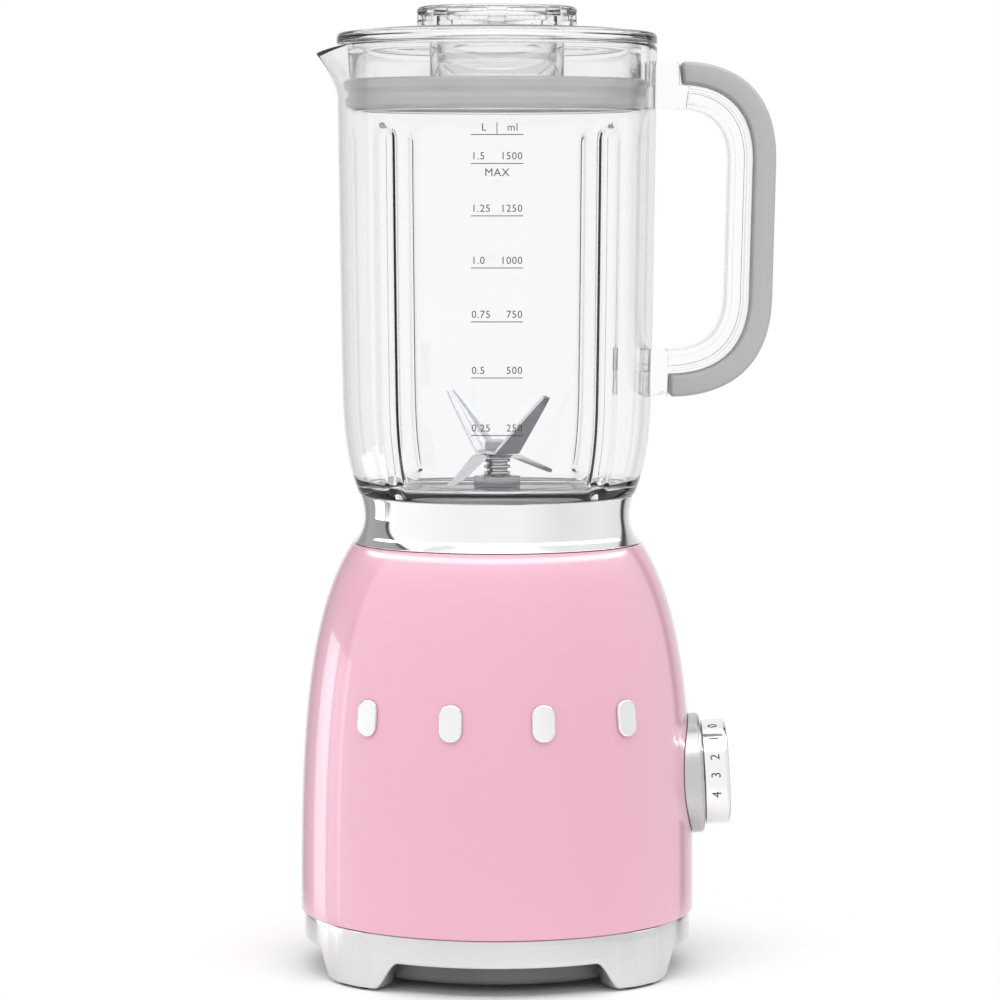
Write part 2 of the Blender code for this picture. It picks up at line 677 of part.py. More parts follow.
def make_knob(root, knob_axis):
    """The knob's axis leaves the housing at the empty's origin, along the empty's own Z."""
    face = BEZEL_T
    bezel = turned("knob_bezel", [
        (BEZEL_R - 0.0020, face), (BEZEL_R - 0.0005, face - 0.0007), (BEZEL_R, face - 0.0022), (BEZEL_R, -0.0100),
        (SPINDLE_R + RUN_GAP, -0.0100), (SPINDLE_R + RUN_GAP, face - 0.0008), (KNOB_R - 0.0010, face - 0.0008),
        (KNOB_R - 0.0006, face),
    ], SMOOTH)
    combine(bezel, body_envelope("bezel_back"), "DIFFERENCE", root)
    keep(bezel, "satin", knob_axis)
    low = face + RUN_GAP
    high = low + KNOB_T
    knob = turned("control_knob", [
        (0.0, high), (KNOB_R - 0.0034, high), (KNOB_R - 0.0012, high - 0.0008), (KNOB_R, high - 0.0028),
        (KNOB_R, low), (SPINDLE_R + GAP, low), (SPINDLE_R + GAP, high - 0.0030), (0.0, high - 0.0030),
    ], SMOOTH)
    keep(knob, "chrome", knob_axis)
    switch_low = -0.0260
    spindle = disc("knob_spindle", SPINDLE_R, switch_low + 0.0060, high - 0.0030 - GAP)
    keep(spindle, "steel", knob_axis)
    switch = box("rotary_switch", (0.0240, 0.0240, 0.0180), (0, 0, switch_low + 0.0090), round_off=0.0010)
    way = disc("switch_way", SPINDLE_R + RUN_GAP, switch_low + 0.0060 - RUN_GAP, 0.02)
    combine(switch, way, "DIFFERENCE", knob_axis)
    keep(switch, "dark", knob_axis)


def make_studs(root):
    side = shell_side(30)
    radius = at_height(side, STUD_Z)
    half_w, half_h = STUD_SIZE[0] / 2, STUD_SIZE[1] / 2
    slope = math.atan2(at_height(side, STUD_Z - 0.002) - at_height(side, STUD_Z + 0.002), 0.004)
    for i, from_front in enumerate(STUD_ANGLES):
        loop = rounded_rectangle(half_w, half_h, half_w * 0.96)
        stud = outline(f"badge_stud_{i + 1}", [loop], 0.0030, bevel=0.0005)
        azimuth = math.radians(from_front)
        out = Vector((math.sin(azimuth), -math.cos(azimuth), 0))
        lean = Matrix.Rotation(azimuth, 4, "Z") @ Matrix.Rotation(math.pi / 2 - slope, 4, "X")
        centre = out * (radius + STUD_PROUD - 0.0030) + Vector((0, 0, STUD_Z))
        stud.matrix_basis = Matrix.Translation(centre) @ lean
        combine(stud, body_envelope(f"stud_back_{i + 1}"), "DIFFERENCE", root)
        keep(stud, "chrome", root)


# ---------------------------------------------------------------- jug

def jug_side(rows=6):
    """Outer side of the jug, rim to foot."""
    upper = (JUG_R - 0.0023, JUG_Z + 0.0380)
    foot = bezier(upper, (upper[0] - 0.0006, JUG_Z + 0.0200), (JUG_BASE_R + 0.0036, JUG_Z + 0.0084),
                  (JUG_BASE_R, JUG_Z), rows)
    return [(JUG_R, JUG_TOP), (JUG_R - 0.0006, JUG_TOP - 0.0270), (JUG_R - 0.0009, JUG_TOP - 0.0500)] + foot


def spout_push(angle, z):
    """How far the rim is drawn out at the spout, which is at 180 degrees."""
    rise = (z - JUG_TOP + SPOUT_H) / SPOUT_H
    off = abs(math.remainder(angle - math.pi, 2 * math.pi)) / math.radians(24)
    if rise <= 0 or off >= 1:
        return 0.0
    return SPOUT_OUT * min(rise, 1.0) ** 1.6 * (1 - off) ** 1.1


def flute_push(angle, z):
    """How far the wall is pressed in at the four flutes."""
    off = abs(math.remainder(angle - math.pi / 4, math.pi / 2)) / math.radians(5.7)
    top = JUG_TOP - FLUTE_TOP
    fade_top = min(max((top - z) / 0.006, 0.0), 1.0)
    fade_foot = min(max((z - JUG_Z - 0.0015) / 0.008, 0.0), 1.0)
    return FLUTE_DEPTH * max(0.0, 1 - off) * fade_top * fade_foot


def make_jug(jug):
    """Rings of points down the outside, round the neck and up the inside, with spout and flutes pressed in."""
    outer = jug_side()
    outer[1:1] = [(at_height(outer, z), z) for z in (JUG_TOP - 0.0070, JUG_TOP - 0.0150, JUG_TOP - SPOUT_H)]
    flute_top = JUG_TOP - FLUTE_TOP
    outer[5:5] = [(at_height(outer, flute_top), flute_top)]
    floor_z = JUG_Z + JUG_WALL
    wall = [(r - JUG_WALL, z) for r, z in outer if z > floor_z + 0.0070]
    neck = [
        (NECK_R, JUG_Z), (NECK_R, NECK_Z), (NECK_BORE, NECK_Z), (NECK_BORE, floor_z - 0.0010),
        (JUG_BASE_R - JUG_WALL - 0.0040, floor_z), (JUG_BASE_R - JUG_WALL + 0.0008, floor_z + 0.0040),
    ]
    rings = [(r, z, True) for r, z in outer] + [(r, z, False) for r, z in neck] + [(r, z, True) for r, z in wall[::-1]]

    def build(bm):
        loops = []
        for r, z, shaped in rings:
            loop = []
            for i in range(SMOOTH):
                angle = 2 * math.pi * i / SMOOTH
                push = spout_push(angle, z) - flute_push(angle, z) if shaped else 0.0
                loop.append(bm.verts.new(((r + push) * math.cos(angle), (r + push) * math.sin(angle), z)))
            loops.append(loop)
        for upper, lower in zip(loops, loops[1:] + loops[:1]):
            for i in range(SMOOTH):
                j = (i + 1) % SMOOTH
                bm.faces.new((upper[i], lower[i], lower[j], upper[j]))

    clear = mesh_object("jug", build)
    core = outline("handle_core", [handle_core_outline()], HANDLE_W / 2, bevel=0.0020)
    core.rotation_euler = (math.pi / 2, 0, 0)
    combine(clear, core, "UNION", jug)
    keep(clear, "clear", jug)
    grip = outline("handle_grip", [grip_outline()], GRIP_W / 2, bevel=0.0026)
    grip.rotation_euler = (math.pi / 2, 0, 0)
    keep(grip, "grip", jug)


def handle_edge(inset, count=7):
    """Points along the handle's outline, this far inside its outer edge, from its top end to its foot."""
    reach = JUG_R + HANDLE_OUT
    top = JUG_TOP - HANDLE_DROP
    foot = top - HANDLE_H
    upper = bezier((JUG_R + 0.0090, top - inset), (reach - 0.0158 - 0.55 * inset, top - inset),
                   (reach - inset, top - 0.0120 - 0.8 * inset), (reach - inset, top - 0.0400), count)
    lower = bezier((reach - inset - 0.0014, foot + 0.0400), (reach - inset - 0.0025, foot + 0.0108 + 0.9 * inset),
                   (reach - 0.0205 - 0.35 * inset, foot + inset), (JUG_R + 0.0046, foot + inset), count)
    return upper + lower


def handle_core_outline():
    """The clear loop: full height where it meets the jug, and thinner under the grip."""
    top = JUG_TOP - HANDLE_DROP
    foot = top - HANDLE_H
    thick = GRIP_T + HANDLE_T
    side = jug_side()
    root_top = at_height(side, top) - JUG_WALL * 0.65
    root_foot = at_height(side, foot) - JUG_WALL * 0.60
    outer = handle_edge(GRIP_T + GAP)
    inner = handle_edge(thick)
    shoulder_x = JUG_R + 0.0090 - GAP
    return ([(root_top, top), (shoulder_x - 0.0040, top), (shoulder_x, top - 0.0040)] + outer
            + [(JUG_R + 0.0046 - GAP, foot + 0.0020), (JUG_R + 0.0030, foot), (root_foot, foot)]
            + [(root_foot, foot + thick)] + inner[::-1] + [(root_top, top - thick)])


def grip_outline():
    top = JUG_TOP - HANDLE_DROP
    outer = handle_edge(0.0)
    inner = handle_edge(GRIP_T)
    nose_x = JUG_R + 0.0090 + GAP
    outer[0] = (nose_x, top)
    inner[0] = (nose_x + 0.0026, top - GRIP_T)
    inner[-1] = (JUG_R + 0.0046 + GAP, inner[-1][1])
    outer[-1] = (JUG_R + 0.0046 + GAP, outer[-1][1])
    return outer + inner[::-1]


# ---------------------------------------------------------------- blade base

def make_collar(base):
    top_r = JUG_BASE_R - 0.0004
    waist_r = top_r - 0.0016
    side = bezier((top_r, COLLAR_TOP), (waist_r - 0.0008, COLLAR_TOP - 0.0090),
                  (waist_r - 0.0006, COLLAR_Z + 0.0060), (COLLAR_R, COLLAR_Z), 7)
    collar = turned("jug_collar", side + [
        (SEAT_RING_R + RUN_GAP, COLLAR_Z), (SEAT_RING_R + RUN_GAP, COLLAR_Z + LIP_T),
        (NECK_R + RUN_GAP, COLLAR_Z + LIP_T), (NECK_R + RUN_GAP, COLLAR_TOP),
    ])
    return keep(collar, "chrome", base)


def hex_nut(name, across, bore, low, high):
    corner = across / math.sqrt(3)
    hexagon = [(corner * math.cos(math.radians(a)), corner * math.sin(math.radians(a))) for a in range(0, 360, 60)]
    hole = arc((0, 0), bore, 0, 360 - 360 / SMALL, SMALL)
    nut = outline(name, [hexagon, hole], (high - low) / 2)
    nut.location = (0, 0, (low + high) / 2)
    return nut


def make_blade_carrier(base):
    """A steel plate that closes the neck: a flange under the neck, a dish in it and a tube for the bush."""
    low, high = CARRIER_Z, CARRIER_Z + CARRIER_T
    rise_r = NECK_BORE - RUN_GAP
    dish_z = JUG_Z - 0.0012
    tube_r = 0.0072
    thin = 0.0014
    tube_low = dish_z - 0.0016
    carrier = turned("blade_carrier", [
        (0.0062, dish_z + thin), (rise_r - 0.0060, dish_z + thin), (rise_r - 0.0020, dish_z + thin + 0.0016),
        (rise_r, dish_z + thin), (rise_r, high), (NECK_R, high), (NECK_R, low), (rise_r - thin, low),
        (rise_r - thin, dish_z), (tube_r, dish_z), (tube_r, tube_low), (0.0062, tube_low),
    ])
    keep(carrier, "steel", base)
    gasket = disc("jug_gasket", NECK_R, high + GAP, NECK_Z - GAP, bore=NECK_BORE + 0.0010, steps=SMOOTH)
    keep(gasket, "seal", base)
    nut_low = dish_z + thin + GAP
    nut_high = nut_low + 0.0074
    keep(hex_nut("hub_nut", HUB_ACROSS, 0.0062, nut_low, nut_high), "steel", base)
    bush = disc("blade_bush", 0.0062 - GAP, tube_low, nut_high - 0.0004, bore=BLADE_SHAFT_R + RUN_GAP)
    keep(bush, "brass", base)
    return nut_high


def blade_wing(bm, angle, reach, rise, root_half, tip_half, twist):
    """One wing: a strip from the hub, bent up or down outside it, narrowing to a slanted tip."""
    bend = 0.0085
    rows = []
    for share, half in ((0.0, root_half), (0.0, root_half), (0.45, root_half * 0.92), (0.85, tip_half * 1.4), (1.0, tip_half)):
        rows.append([share, half])
    along = [0.0, bend] + [bend + (reach - bend) * share for share, _ in rows[2:]]
    turn = Matrix.Rotation(math.radians(angle), 4, "Z")
    loops = []
    for (share, half), x in zip(rows, along):
        z = rise * share
        lead = twist * share
        loops.append([bm.verts.new(turn @ Vector((x, y + lead, z))) for y in (-half, half)])
    for near, far in zip(loops, loops[1:]):
        bm.faces.new((near[0], far[0], far[1], near[1]))


def make_blade(name, z, wings, spin):
    """A steel star of two wings round a hub, given its thickness by Solidify and bored for the shaft."""
    def build(bm):
        for wing in wings:
            blade_wing(bm, *wing)
        bmesh.ops.remove_doubles(bm, verts=bm.verts, dist=1e-6)
    blade = mesh_object(name, build)
    blade.location = (0, 0, z)
    solid = blade.modifiers.new("thick", "SOLIDIFY")
    solid.thickness = BLADE_T
    solid.offset = 0
    bore = disc(f"{name}_bore", BLADE_SHAFT_R + GAP, z - 0.01, z + 0.01)
    combine(blade, bore, "DIFFERENCE", spin)
    return keep(blade, "steel", spin)


def make_blades(nut_high, spin):
    spacer_top = nut_high + RUN_GAP + 0.0064
    lower_z = spacer_top + GAP + BLADE_T / 2
    upper_z = lower_z + BLADE_T + GAP
    nut_low = upper_z + BLADE_T / 2 + GAP
    foot = COUPLING_Z + COUPLING_H + 0.0012
    shaft = turned("blade_shaft", [
        (0.0, nut_low + 0.0042), (BLADE_SHAFT_R, nut_low + 0.0036), (BLADE_SHAFT_R, spacer_top),
        (0.0055, spacer_top), (0.0055, nut_high + RUN_GAP), (BLADE_SHAFT_R, nut_high + RUN_GAP),
        (BLADE_SHAFT_R, foot), (0.0, foot),
    ], SMALL)
    keep(shaft, "steel", spin)
    make_blade("blade_lower", lower_z, ((205, 0.0240, -0.0138, 0.0057, 0.0020, 0.003),
                                        (25, 0.0260, -0.0070, 0.0057, 0.0020, 0.003)), spin)
    make_blade("blade_upper", upper_z, ((-60, 0.0330, 0.0240, 0.0057, 0.0015, 0.004),
                                        (120, 0.0330, 0.0240, 0.0057, 0.0015, 0.004)), spin)
    keep(hex_nut("blade_nut", 0.0088, BLADE_SHAFT_R + GAP, nut_low, nut_low + 0.0032), "steel", spin)
    cup_low = COUPLING_Z + 0.0010
    cup_high = COUPLING_Z + COUPLING_H + 0.0030
    cup = disc("driven_coupling", COUPLING_R + 0.0040, cup_low, cup_high, BLADE_SHAFT_R + GAP, MIDDLE)
    socket = outline("driven_socket", [star(6, COUPLING_R - 0.0018 + RUN_GAP, COUPLING_R + RUN_GAP)], 0.0100)
    socket.location = (0, 0, COUPLING_Z + COUPLING_H + RUN_GAP - 0.0100)
    combine(cup, socket, "DIFFERENCE", spin)
    keep(cup, "dark", spin)


# ---------------------------------------------------------------- lid and cap

def make_lid(lid):
    tube_out = CAP_SKIRT_R + RUN_GAP + LID_WALL
    tube_in = CAP_SKIRT_R + RUN_GAP
    plug_low = LID_Z - PLUG_DEPTH
    tube_low = LID_Z - 0.0130
    roof = LID_TOP - LID_WALL - 0.0008
    groove = PLUG_R - 0.0012
    seal_high = plug_low + 0.0134
    seal_low = plug_low + 0.0006
    shape = turned("lid", [
        (tube_in, LID_TOP), (JUG_R - 0.0160, LID_TOP), (JUG_R - 0.0050, LID_TOP - 0.0006),
        (JUG_R - 0.0012, LID_TOP - 0.0024), (JUG_R, LID_TOP - 0.0050), (JUG_R, LID_Z), (PLUG_R, LID_Z),
        (PLUG_R, seal_high), (groove, seal_high), (groove, seal_low), (PLUG_R, seal_low), (PLUG_R, plug_low),
        (PLUG_R - LID_WALL - 0.0012, plug_low), (PLUG_R - LID_WALL - 0.0012, roof), (tube_out, roof),
        (tube_out, tube_low), (tube_in, tube_low),
    ])
    keep(shape, "clear", lid)
    reach = JUG_INNER_R - 0.0010
    high, low = seal_high - GAP, seal_low + GAP
    middle = (high + low) / 2
    seal = turned("lid_seal", [
        (PLUG_R, high), (reach, high - 0.0016), (reach, high - 0.0036), (PLUG_R + 0.0010, middle),
        (reach, low + 0.0036), (reach, low + 0.0016), (PLUG_R, low), (groove + GAP, low), (groove + GAP, high),
    ])
    keep(seal, "seal", lid)


def make_cap(cap):
    skirt_in = CAP_SKIRT_R - 0.0020
    seal_z = LID_Z - 0.0020
    profile = [
        (0.0, CAP_TOP), (CAP_R - 0.0030, CAP_TOP), (CAP_R - 0.0008, CAP_TOP - 0.0010), (CAP_R, CAP_TOP - 0.0030),
        (CAP_R, CAP_Z), (CAP_SKIRT_R, CAP_Z), (CAP_SKIRT_R, seal_z), (CAP_SKIRT_R - 0.0008, seal_z),
        (CAP_SKIRT_R - 0.0008, seal_z - 0.0030), (CAP_SKIRT_R, seal_z - 0.0030),
        (CAP_SKIRT_R, CAP_Z - CAP_SKIRT_H), (skirt_in, CAP_Z - CAP_SKIRT_H), (skirt_in, CAP_TOP - 0.0025),
        (0.0, CAP_TOP - 0.0025),
    ]
    shape = turned("lid_cap", profile)
    for i in range(8):
        angle = 22.5 + 45 * i
        window = box(f"cap_window_{i}", (0.0060, CAP_R * 0.52, CAP_H * 0.50),
                     polar(CAP_R + 0.0012, angle, CAP_Z + CAP_H * 0.46), angle)
        combine(shape, window, "DIFFERENCE", cap)
    keep(shape, "clear", cap)
    seal = disc("cap_seal", CAP_SKIRT_R + 0.0002, seal_z - 0.0030 + GAP, seal_z - GAP,
                bore=CAP_SKIRT_R - 0.0008 + GAP, steps=SMOOTH)
    keep(seal, "seal", cap)


# ---------------------------------------------------------------- whole object

def make_blender():
    clear_scene()
    root = empty("base_axis", (AXIS_X, 0, 0))
    rotor = empty("rotor_axis", (0, 0, 0), root)
    blade_base = empty("blade_base_axis", (0, 0, 0), root)
    blades = empty("blade_axis", (0, 0, 0), blade_base)
    jug = empty("jug_axis", (0, 0, 0), blade_base)
    lid = empty("lid_axis", (0, 0, 0), jug)
    cap = empty("cap_axis", (0, 0, 0), lid)
    knob_axis = empty("knob_axis", (at_height(shell_side(30), KNOB_Z), 0, KNOB_Z), root)
    knob_axis.rotation_euler = (0, math.radians(90 - KNOB_TILT), 0)

    make_body_shell(root, knob_axis)
    make_base_ring(root)
    make_feet(root)
    make_base_pan(root)
    make_control_board(root)
    make_cord_gland(root)
    make_seat(root)
    make_motor_frames(root)
    make_stator(root)
    make_brushes(root)
    make_rotor(rotor)
    make_knob(root, knob_axis)
    make_studs(root)
    make_jug(jug)
    make_collar(blade_base)
    nut_high = make_blade_carrier(blade_base)
    make_blades(nut_high, blades)
    make_lid(lid)
    make_cap(cap)


make_blender()
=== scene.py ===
"""Countertop blender: the fine surfaces, finishes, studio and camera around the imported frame.

Metres, +Z up, front at -Y. The motor, jug, lid and cap share one upright axis at x = AXIS_X, so a turned
piece is built about its own Z and then placed there.
"""

import json
import math

import bmesh
import bpy
from mathutils import Matrix, Vector


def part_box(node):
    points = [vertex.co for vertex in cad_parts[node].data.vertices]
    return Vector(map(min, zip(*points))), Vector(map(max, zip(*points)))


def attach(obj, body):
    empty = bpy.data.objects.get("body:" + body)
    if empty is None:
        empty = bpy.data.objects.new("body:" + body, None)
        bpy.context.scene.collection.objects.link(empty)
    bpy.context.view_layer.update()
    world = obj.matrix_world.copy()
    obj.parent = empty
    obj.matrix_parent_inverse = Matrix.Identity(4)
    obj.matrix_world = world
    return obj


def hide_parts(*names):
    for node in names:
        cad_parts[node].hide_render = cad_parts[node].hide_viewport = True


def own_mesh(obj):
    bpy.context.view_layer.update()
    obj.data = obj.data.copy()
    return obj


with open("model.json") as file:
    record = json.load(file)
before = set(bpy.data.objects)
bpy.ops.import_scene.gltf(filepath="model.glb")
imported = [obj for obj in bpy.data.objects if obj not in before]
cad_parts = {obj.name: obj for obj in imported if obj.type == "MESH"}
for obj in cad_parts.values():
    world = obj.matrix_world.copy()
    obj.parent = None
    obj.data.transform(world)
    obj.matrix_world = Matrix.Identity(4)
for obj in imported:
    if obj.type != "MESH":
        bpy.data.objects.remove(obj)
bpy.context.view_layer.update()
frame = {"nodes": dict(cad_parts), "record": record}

# ---------------------------------------------------------------- sizes, from the frame

GAP = 0.0003               # between pieces that stand on each other
RUN_GAP = 0.0006           # and between pieces that turn or slide
ROUND = 192                # sides of a large turned piece
FINE = 96                  # and of a small one
SHARP = math.radians(38)   # edges that turn more than this stay crisp
DRILL_HALF = 0.02
INK = 0.00005              # thickness of the printed lettering
INK_LIFT = 0.00004         # and its gap from the surface below


def low(node):
    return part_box(node)[0]


def high(node):
    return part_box(node)[1]


def half_width(node):
    return (high(node).x - low(node).x) / 2


AXIS_X = (high("jug_collar").x + low("jug_collar").x) / 2
BODY_R = half_width("body_shell")
SHELL_WALL = 0.0026
GLAND_HOLE_R = 0.0069
SHELL_TOP = high("body_shell").z
COLLAR_R = half_width("jug_collar")
COLLAR_Z = low("jug_collar").z
COLLAR_TOP = high("jug_collar").z
JUG_R = half_width("lid")
JUG_BASE_R = 0.0569
JUG_WALL = 0.0030
JUG_Z = COLLAR_TOP + GAP
JUG_TOP = high("jug").z
NECK_Z = low("jug").z
NECK_R = half_width("jug_gasket")
NECK_BORE = NECK_R - 0.0085
LID_Z = JUG_TOP + GAP
LID_TOP = high("lid").z
LID_WALL = 0.0024
PLUG_LOW = low("lid").z
PLUG_R = JUG_R - JUG_WALL - 0.0036
CAP_Z = LID_TOP + GAP
CAP_TOP = high("lid_cap").z
CAP_R = half_width("lid_cap")
CAP_SKIRT_R = 0.0247
RING_LIP = 0.0038          # the foot ring's lip, up inside the housing
RING_TOP = high("base_ring").z - RING_LIP
RING_R = half_width("base_ring")
SHELL_Z = RING_TOP + GAP
FOOT_SHOW = low("base_ring").z
RING_WALL = 0.0046
ARCH_TOP = RING_TOP - 0.0114
LEG_DEPTH = 0.0114
LEG_START = 38.5           # degrees from the front or the back
LEG_END = 57.5
HANDLE_TOP = high("handle_grip").z
HANDLE_FOOT = low("handle_grip").z
HANDLE_REACH = high("handle_grip").x - AXIS_X
HANDLE_W = 0.0220
GRIP_W = high("handle_grip").y - low("handle_grip").y
GRIP_T = 0.0094
HANDLE_T = 0.0101
HANDLE_NOSE = JUG_R + 0.0090    # where the grey cover starts, at the handle's top
HANDLE_HEEL = JUG_R + 0.0046    # and where it ends, at the foot
SPOUT_OUT = 0.0089
SPOUT_H = 0.0225
SPOUT_DROP = 0.0030
FLUTE_DEPTH = 0.0030
FLUTES = (44.0, 141.0)      # degrees from the front, on both sides
FLUTE_TOP = JUG_TOP - 0.0330
KNOB_Z = 0.0797
KNOB_R = 0.0219
KNOB_T = 0.0102
KNOB_TILT = 3.0            # degrees that its axis rises as it leaves the housing
DIGIT_ANGLES = (68, 46.5, 24, 4.4, -17.5)
BEZEL_R = KNOB_R + 0.0030
BEZEL_T = 0.0044
SPINDLE_R = 0.0030
STUD_Z = (high("badge_stud_1").z + low("badge_stud_1").z) / 2
STUD_SIZE = (0.0095, 0.0150)
STUD_PROUD = 0.0016
STUD_ANGLES = (-41.0, -13.5, 13.5, 41.0)
SEAT_RING_R = 0.0450
LIP_T = 0.0032
BLADE_T = 0.0014
BLADE_SHAFT_R = 0.0030


# ---------------------------------------------------------------- outlines

def bezier(start, pull, push, end, count):
    points = []
    for i in range(count):
        t = i / (count - 1)
        weights = ((1 - t) ** 3, 3 * t * (1 - t) ** 2, 3 * t * t * (1 - t), t ** 3)
        corners = (start, pull, push, end)
        points.append(tuple(sum(w * c[k] for w, c in zip(weights, corners)) for k in (0, 1)))
    return points


def soften(corners, steps=6):
    """A closed outline whose (x, y, radius) corners become arcs. A plain (x, y) point stays as it is."""
    points = []
    for i, corner in enumerate(corners):
        here = Vector(corner[:2])
        back = Vector(corners[i - 1][:2]) - here
        on = Vector(corners[(i + 1) % len(corners)][:2]) - here
        if len(corner) == 2 or back.length < 1e-9 or on.length < 1e-9:
            points.append(tuple(here))
            continue
        opening = back.angle(on)
        if corner[2] <= 0 or opening > math.radians(176):
            points.append(tuple(here))
            continue
        reach = min(corner[2] / math.tan(opening / 2), 0.48 * back.length, 0.48 * on.length)
        radius = reach * math.tan(opening / 2)
        middle = (back.normalized() + on.normalized()).normalized()
        centre = here + middle * radius / math.sin(opening / 2)
        first = here + back.normalized() * reach - centre
        last = here + on.normalized() * reach - centre
        sweep = first.angle(last)
        for k in range(steps + 1):
            t = k / steps
            share = (math.sin((1 - t) * sweep) * first + math.sin(t * sweep) * last) / math.sin(sweep)
            points.append(tuple(centre + share))
    return points


def at_height(profile, z):
    """Radius of a profile of (radius, height) points that runs downwards, at one height."""
    for (r0, z0), (r1, z1) in zip(profile, profile[1:]):
        if z1 <= z <= z0:
            return r0 + (r1 - r0) * (z0 - z) / (z0 - z1)
    return profile[0][0] if z > profile[0][1] else profile[-1][0]


def polar(radius, degrees, z):
    angle = math.radians(degrees)
    return (radius * math.cos(angle), radius * math.sin(angle), z)


# ---------------------------------------------------------------- meshes

def mesh_piece(name, build, place=None):
    """A new object on the upright axis whose mesh is whatever build(bm) makes."""
    bm = bmesh.new()
    build(bm)
    bmesh.ops.recalc_face_normals(bm, faces=bm.faces)
    mesh = bpy.data.meshes.new(name)
    bm.to_mesh(mesh)
    bm.free()
    mesh.shade_smooth()
    mesh.set_sharp_from_angle(angle=SHARP)
    obj = bpy.data.objects.new(name, mesh)
    bpy.context.scene.collection.objects.link(obj)
    obj.matrix_world = place if place else Matrix.Translation((AXIS_X, 0, 0))
    return obj


def add_rings(bm, rings):
    """Faces between closed rings of vertices, and back from the last to the first. A ring of one is a pole."""
    for near, far in zip(rings, rings[1:] + rings[:1]):
        count = max(len(near), len(far))
        if count == 1:
            continue
        for i in range(count):
            j = (i + 1) % count
            loop = (near[i % len(near)], far[i % len(far)], far[j % len(far)], near[j % len(near)])
            bm.faces.new(list(dict.fromkeys(loop)))


def lathe(name, outline, steps=ROUND, place=None):
    """A closed outline of (radius, height) turned about the piece's own Z."""
    def build(bm):
        rings = []
        for r, z in outline:
            count = 1 if r < 1e-7 else steps
            rings.append([bm.verts.new(polar(r, 360 * i / count, z)) for i in range(count)])
        add_rings(bm, rings)
    return mesh_piece(name, build, place)


def drill(name, radius, steps, place):
    """A plain cylinder to cut a round hole with, DRILL_HALF to each side of the place."""
    outline = [(0.0, DRILL_HALF), (radius, DRILL_HALF), (radius, -DRILL_HALF), (0.0, -DRILL_HALF)]
    return lathe(name, outline, steps, place)


def slab(name, outline, half, edge, place, depth=0.0, rows=6):
    """A flat closed outline of (x, y) points made a plate. Its rims are rounded over, edge inwards and depth across."""
    depth = depth or edge
    count = len(outline)
    inward = []
    area = sum(x0 * y1 - x1 * y0 for (x0, y0), (x1, y1) in zip(outline, outline[1:] + outline[:1]))
    side = 1.0 if area > 0 else -1.0
    for i in range(count):
        along = Vector(outline[(i + 1) % count]) - Vector(outline[i - 1])
        inward.append(Vector((-along.y, along.x)).normalized() * side)

    def build(bm):
        rings = []
        levels = [(-1, k) for k in range(rows + 1)] + [(1, rows - k) for k in range(rows + 1)]
        for sign, k in levels:
            turn = math.pi / 2 * k / rows
            inset = edge * (1 - math.sin(turn))
            z = sign * (half - depth * (1 - math.cos(turn)))
            rings.append([bm.verts.new((x + n.x * inset, y + n.y * inset, z)) for (x, y), n in zip(outline, inward)])
        for near, far in zip(rings, rings[1:]):
            for i in range(count):
                j = (i + 1) % count
                bm.faces.new((near[i], far[i], far[j], near[j]))
        for ring in (rings[0], rings[-1]):
            face = bm.faces.new(ring)
            bmesh.ops.triangulate(bm, faces=[face])
    return mesh_piece(name, build, place)


def block(bm, size, matrix, bevel=0.0):
    made = bmesh.ops.create_cube(bm, size=1.0, matrix=matrix @ Matrix.Diagonal((*size, 1.0)))
    if bevel:
        edges = list({edge for vert in made["verts"] for edge in vert.link_edges})
        bmesh.ops.bevel(bm, geom=edges, offset=bevel, segments=3, profile=0.5, affect="EDGES")


def boolean(target, other, operation):
    """Join another object to a piece, or cut it away, and leave one mesh."""
    modifier = target.modifiers.new("cut", "BOOLEAN")
    modifier.operation = operation
    modifier.object = other
    modifier.solver = "EXACT"
    bpy.context.view_layer.update()
    graph = bpy.context.evaluated_depsgraph_get()
    mesh = bpy.data.meshes.new_from_object(target.evaluated_get(graph))
    target.modifiers.clear()
    old = target.data
    target.data = mesh
    bpy.data.meshes.remove(old)
    bpy.data.objects.remove(other)
    mesh.shade_smooth()
    mesh.set_sharp_from_angle(angle=SHARP)
    return target


# ---------------------------------------------------------------- finishes

def node(tree, kind, **settings):
    made = tree.nodes.new(kind)
    for key, value in settings.items():
        setattr(made, key, value)
    return made


def noise(tree, coords, scale, detail=3.0, stretch=None):
    source = coords
    if stretch:
        mapping = node(tree, "ShaderNodeMapping")
        mapping.inputs["Scale"].default_value = stretch
        tree.links.new(coords, mapping.inputs["Vector"])
        source = mapping.outputs["Vector"]
    made = node(tree, "ShaderNodeTexNoise")
    made.inputs["Scale"].default_value = scale
    made.inputs["Detail"].default_value = detail
    tree.links.new(source, made.inputs["Vector"])
    return made.outputs["Fac"]


def ramp(tree, value, stops):
    made = node(tree, "ShaderNodeValToRGB")
    elements = made.color_ramp.elements
    elements[0].position, elements[1].position = stops[0][0], stops[-1][0]
    for place, _ in stops[1:-1]:
        elements.new(place)
    for element, (_, colour) in zip(elements, stops):
        element.color = (*colour, 1.0)
    tree.links.new(value, made.inputs["Fac"])
    return made.outputs["Color"]


def span(tree, value, start, end, low_in=0.3, high_in=0.7):
    made = node(tree, "ShaderNodeMapRange")
    made.inputs["From Min"].default_value = low_in
    made.inputs["From Max"].default_value = high_in
    made.inputs["To Min"].default_value = start
    made.inputs["To Max"].default_value = end
    tree.links.new(value, made.inputs["Value"])
    return made.outputs["Result"]


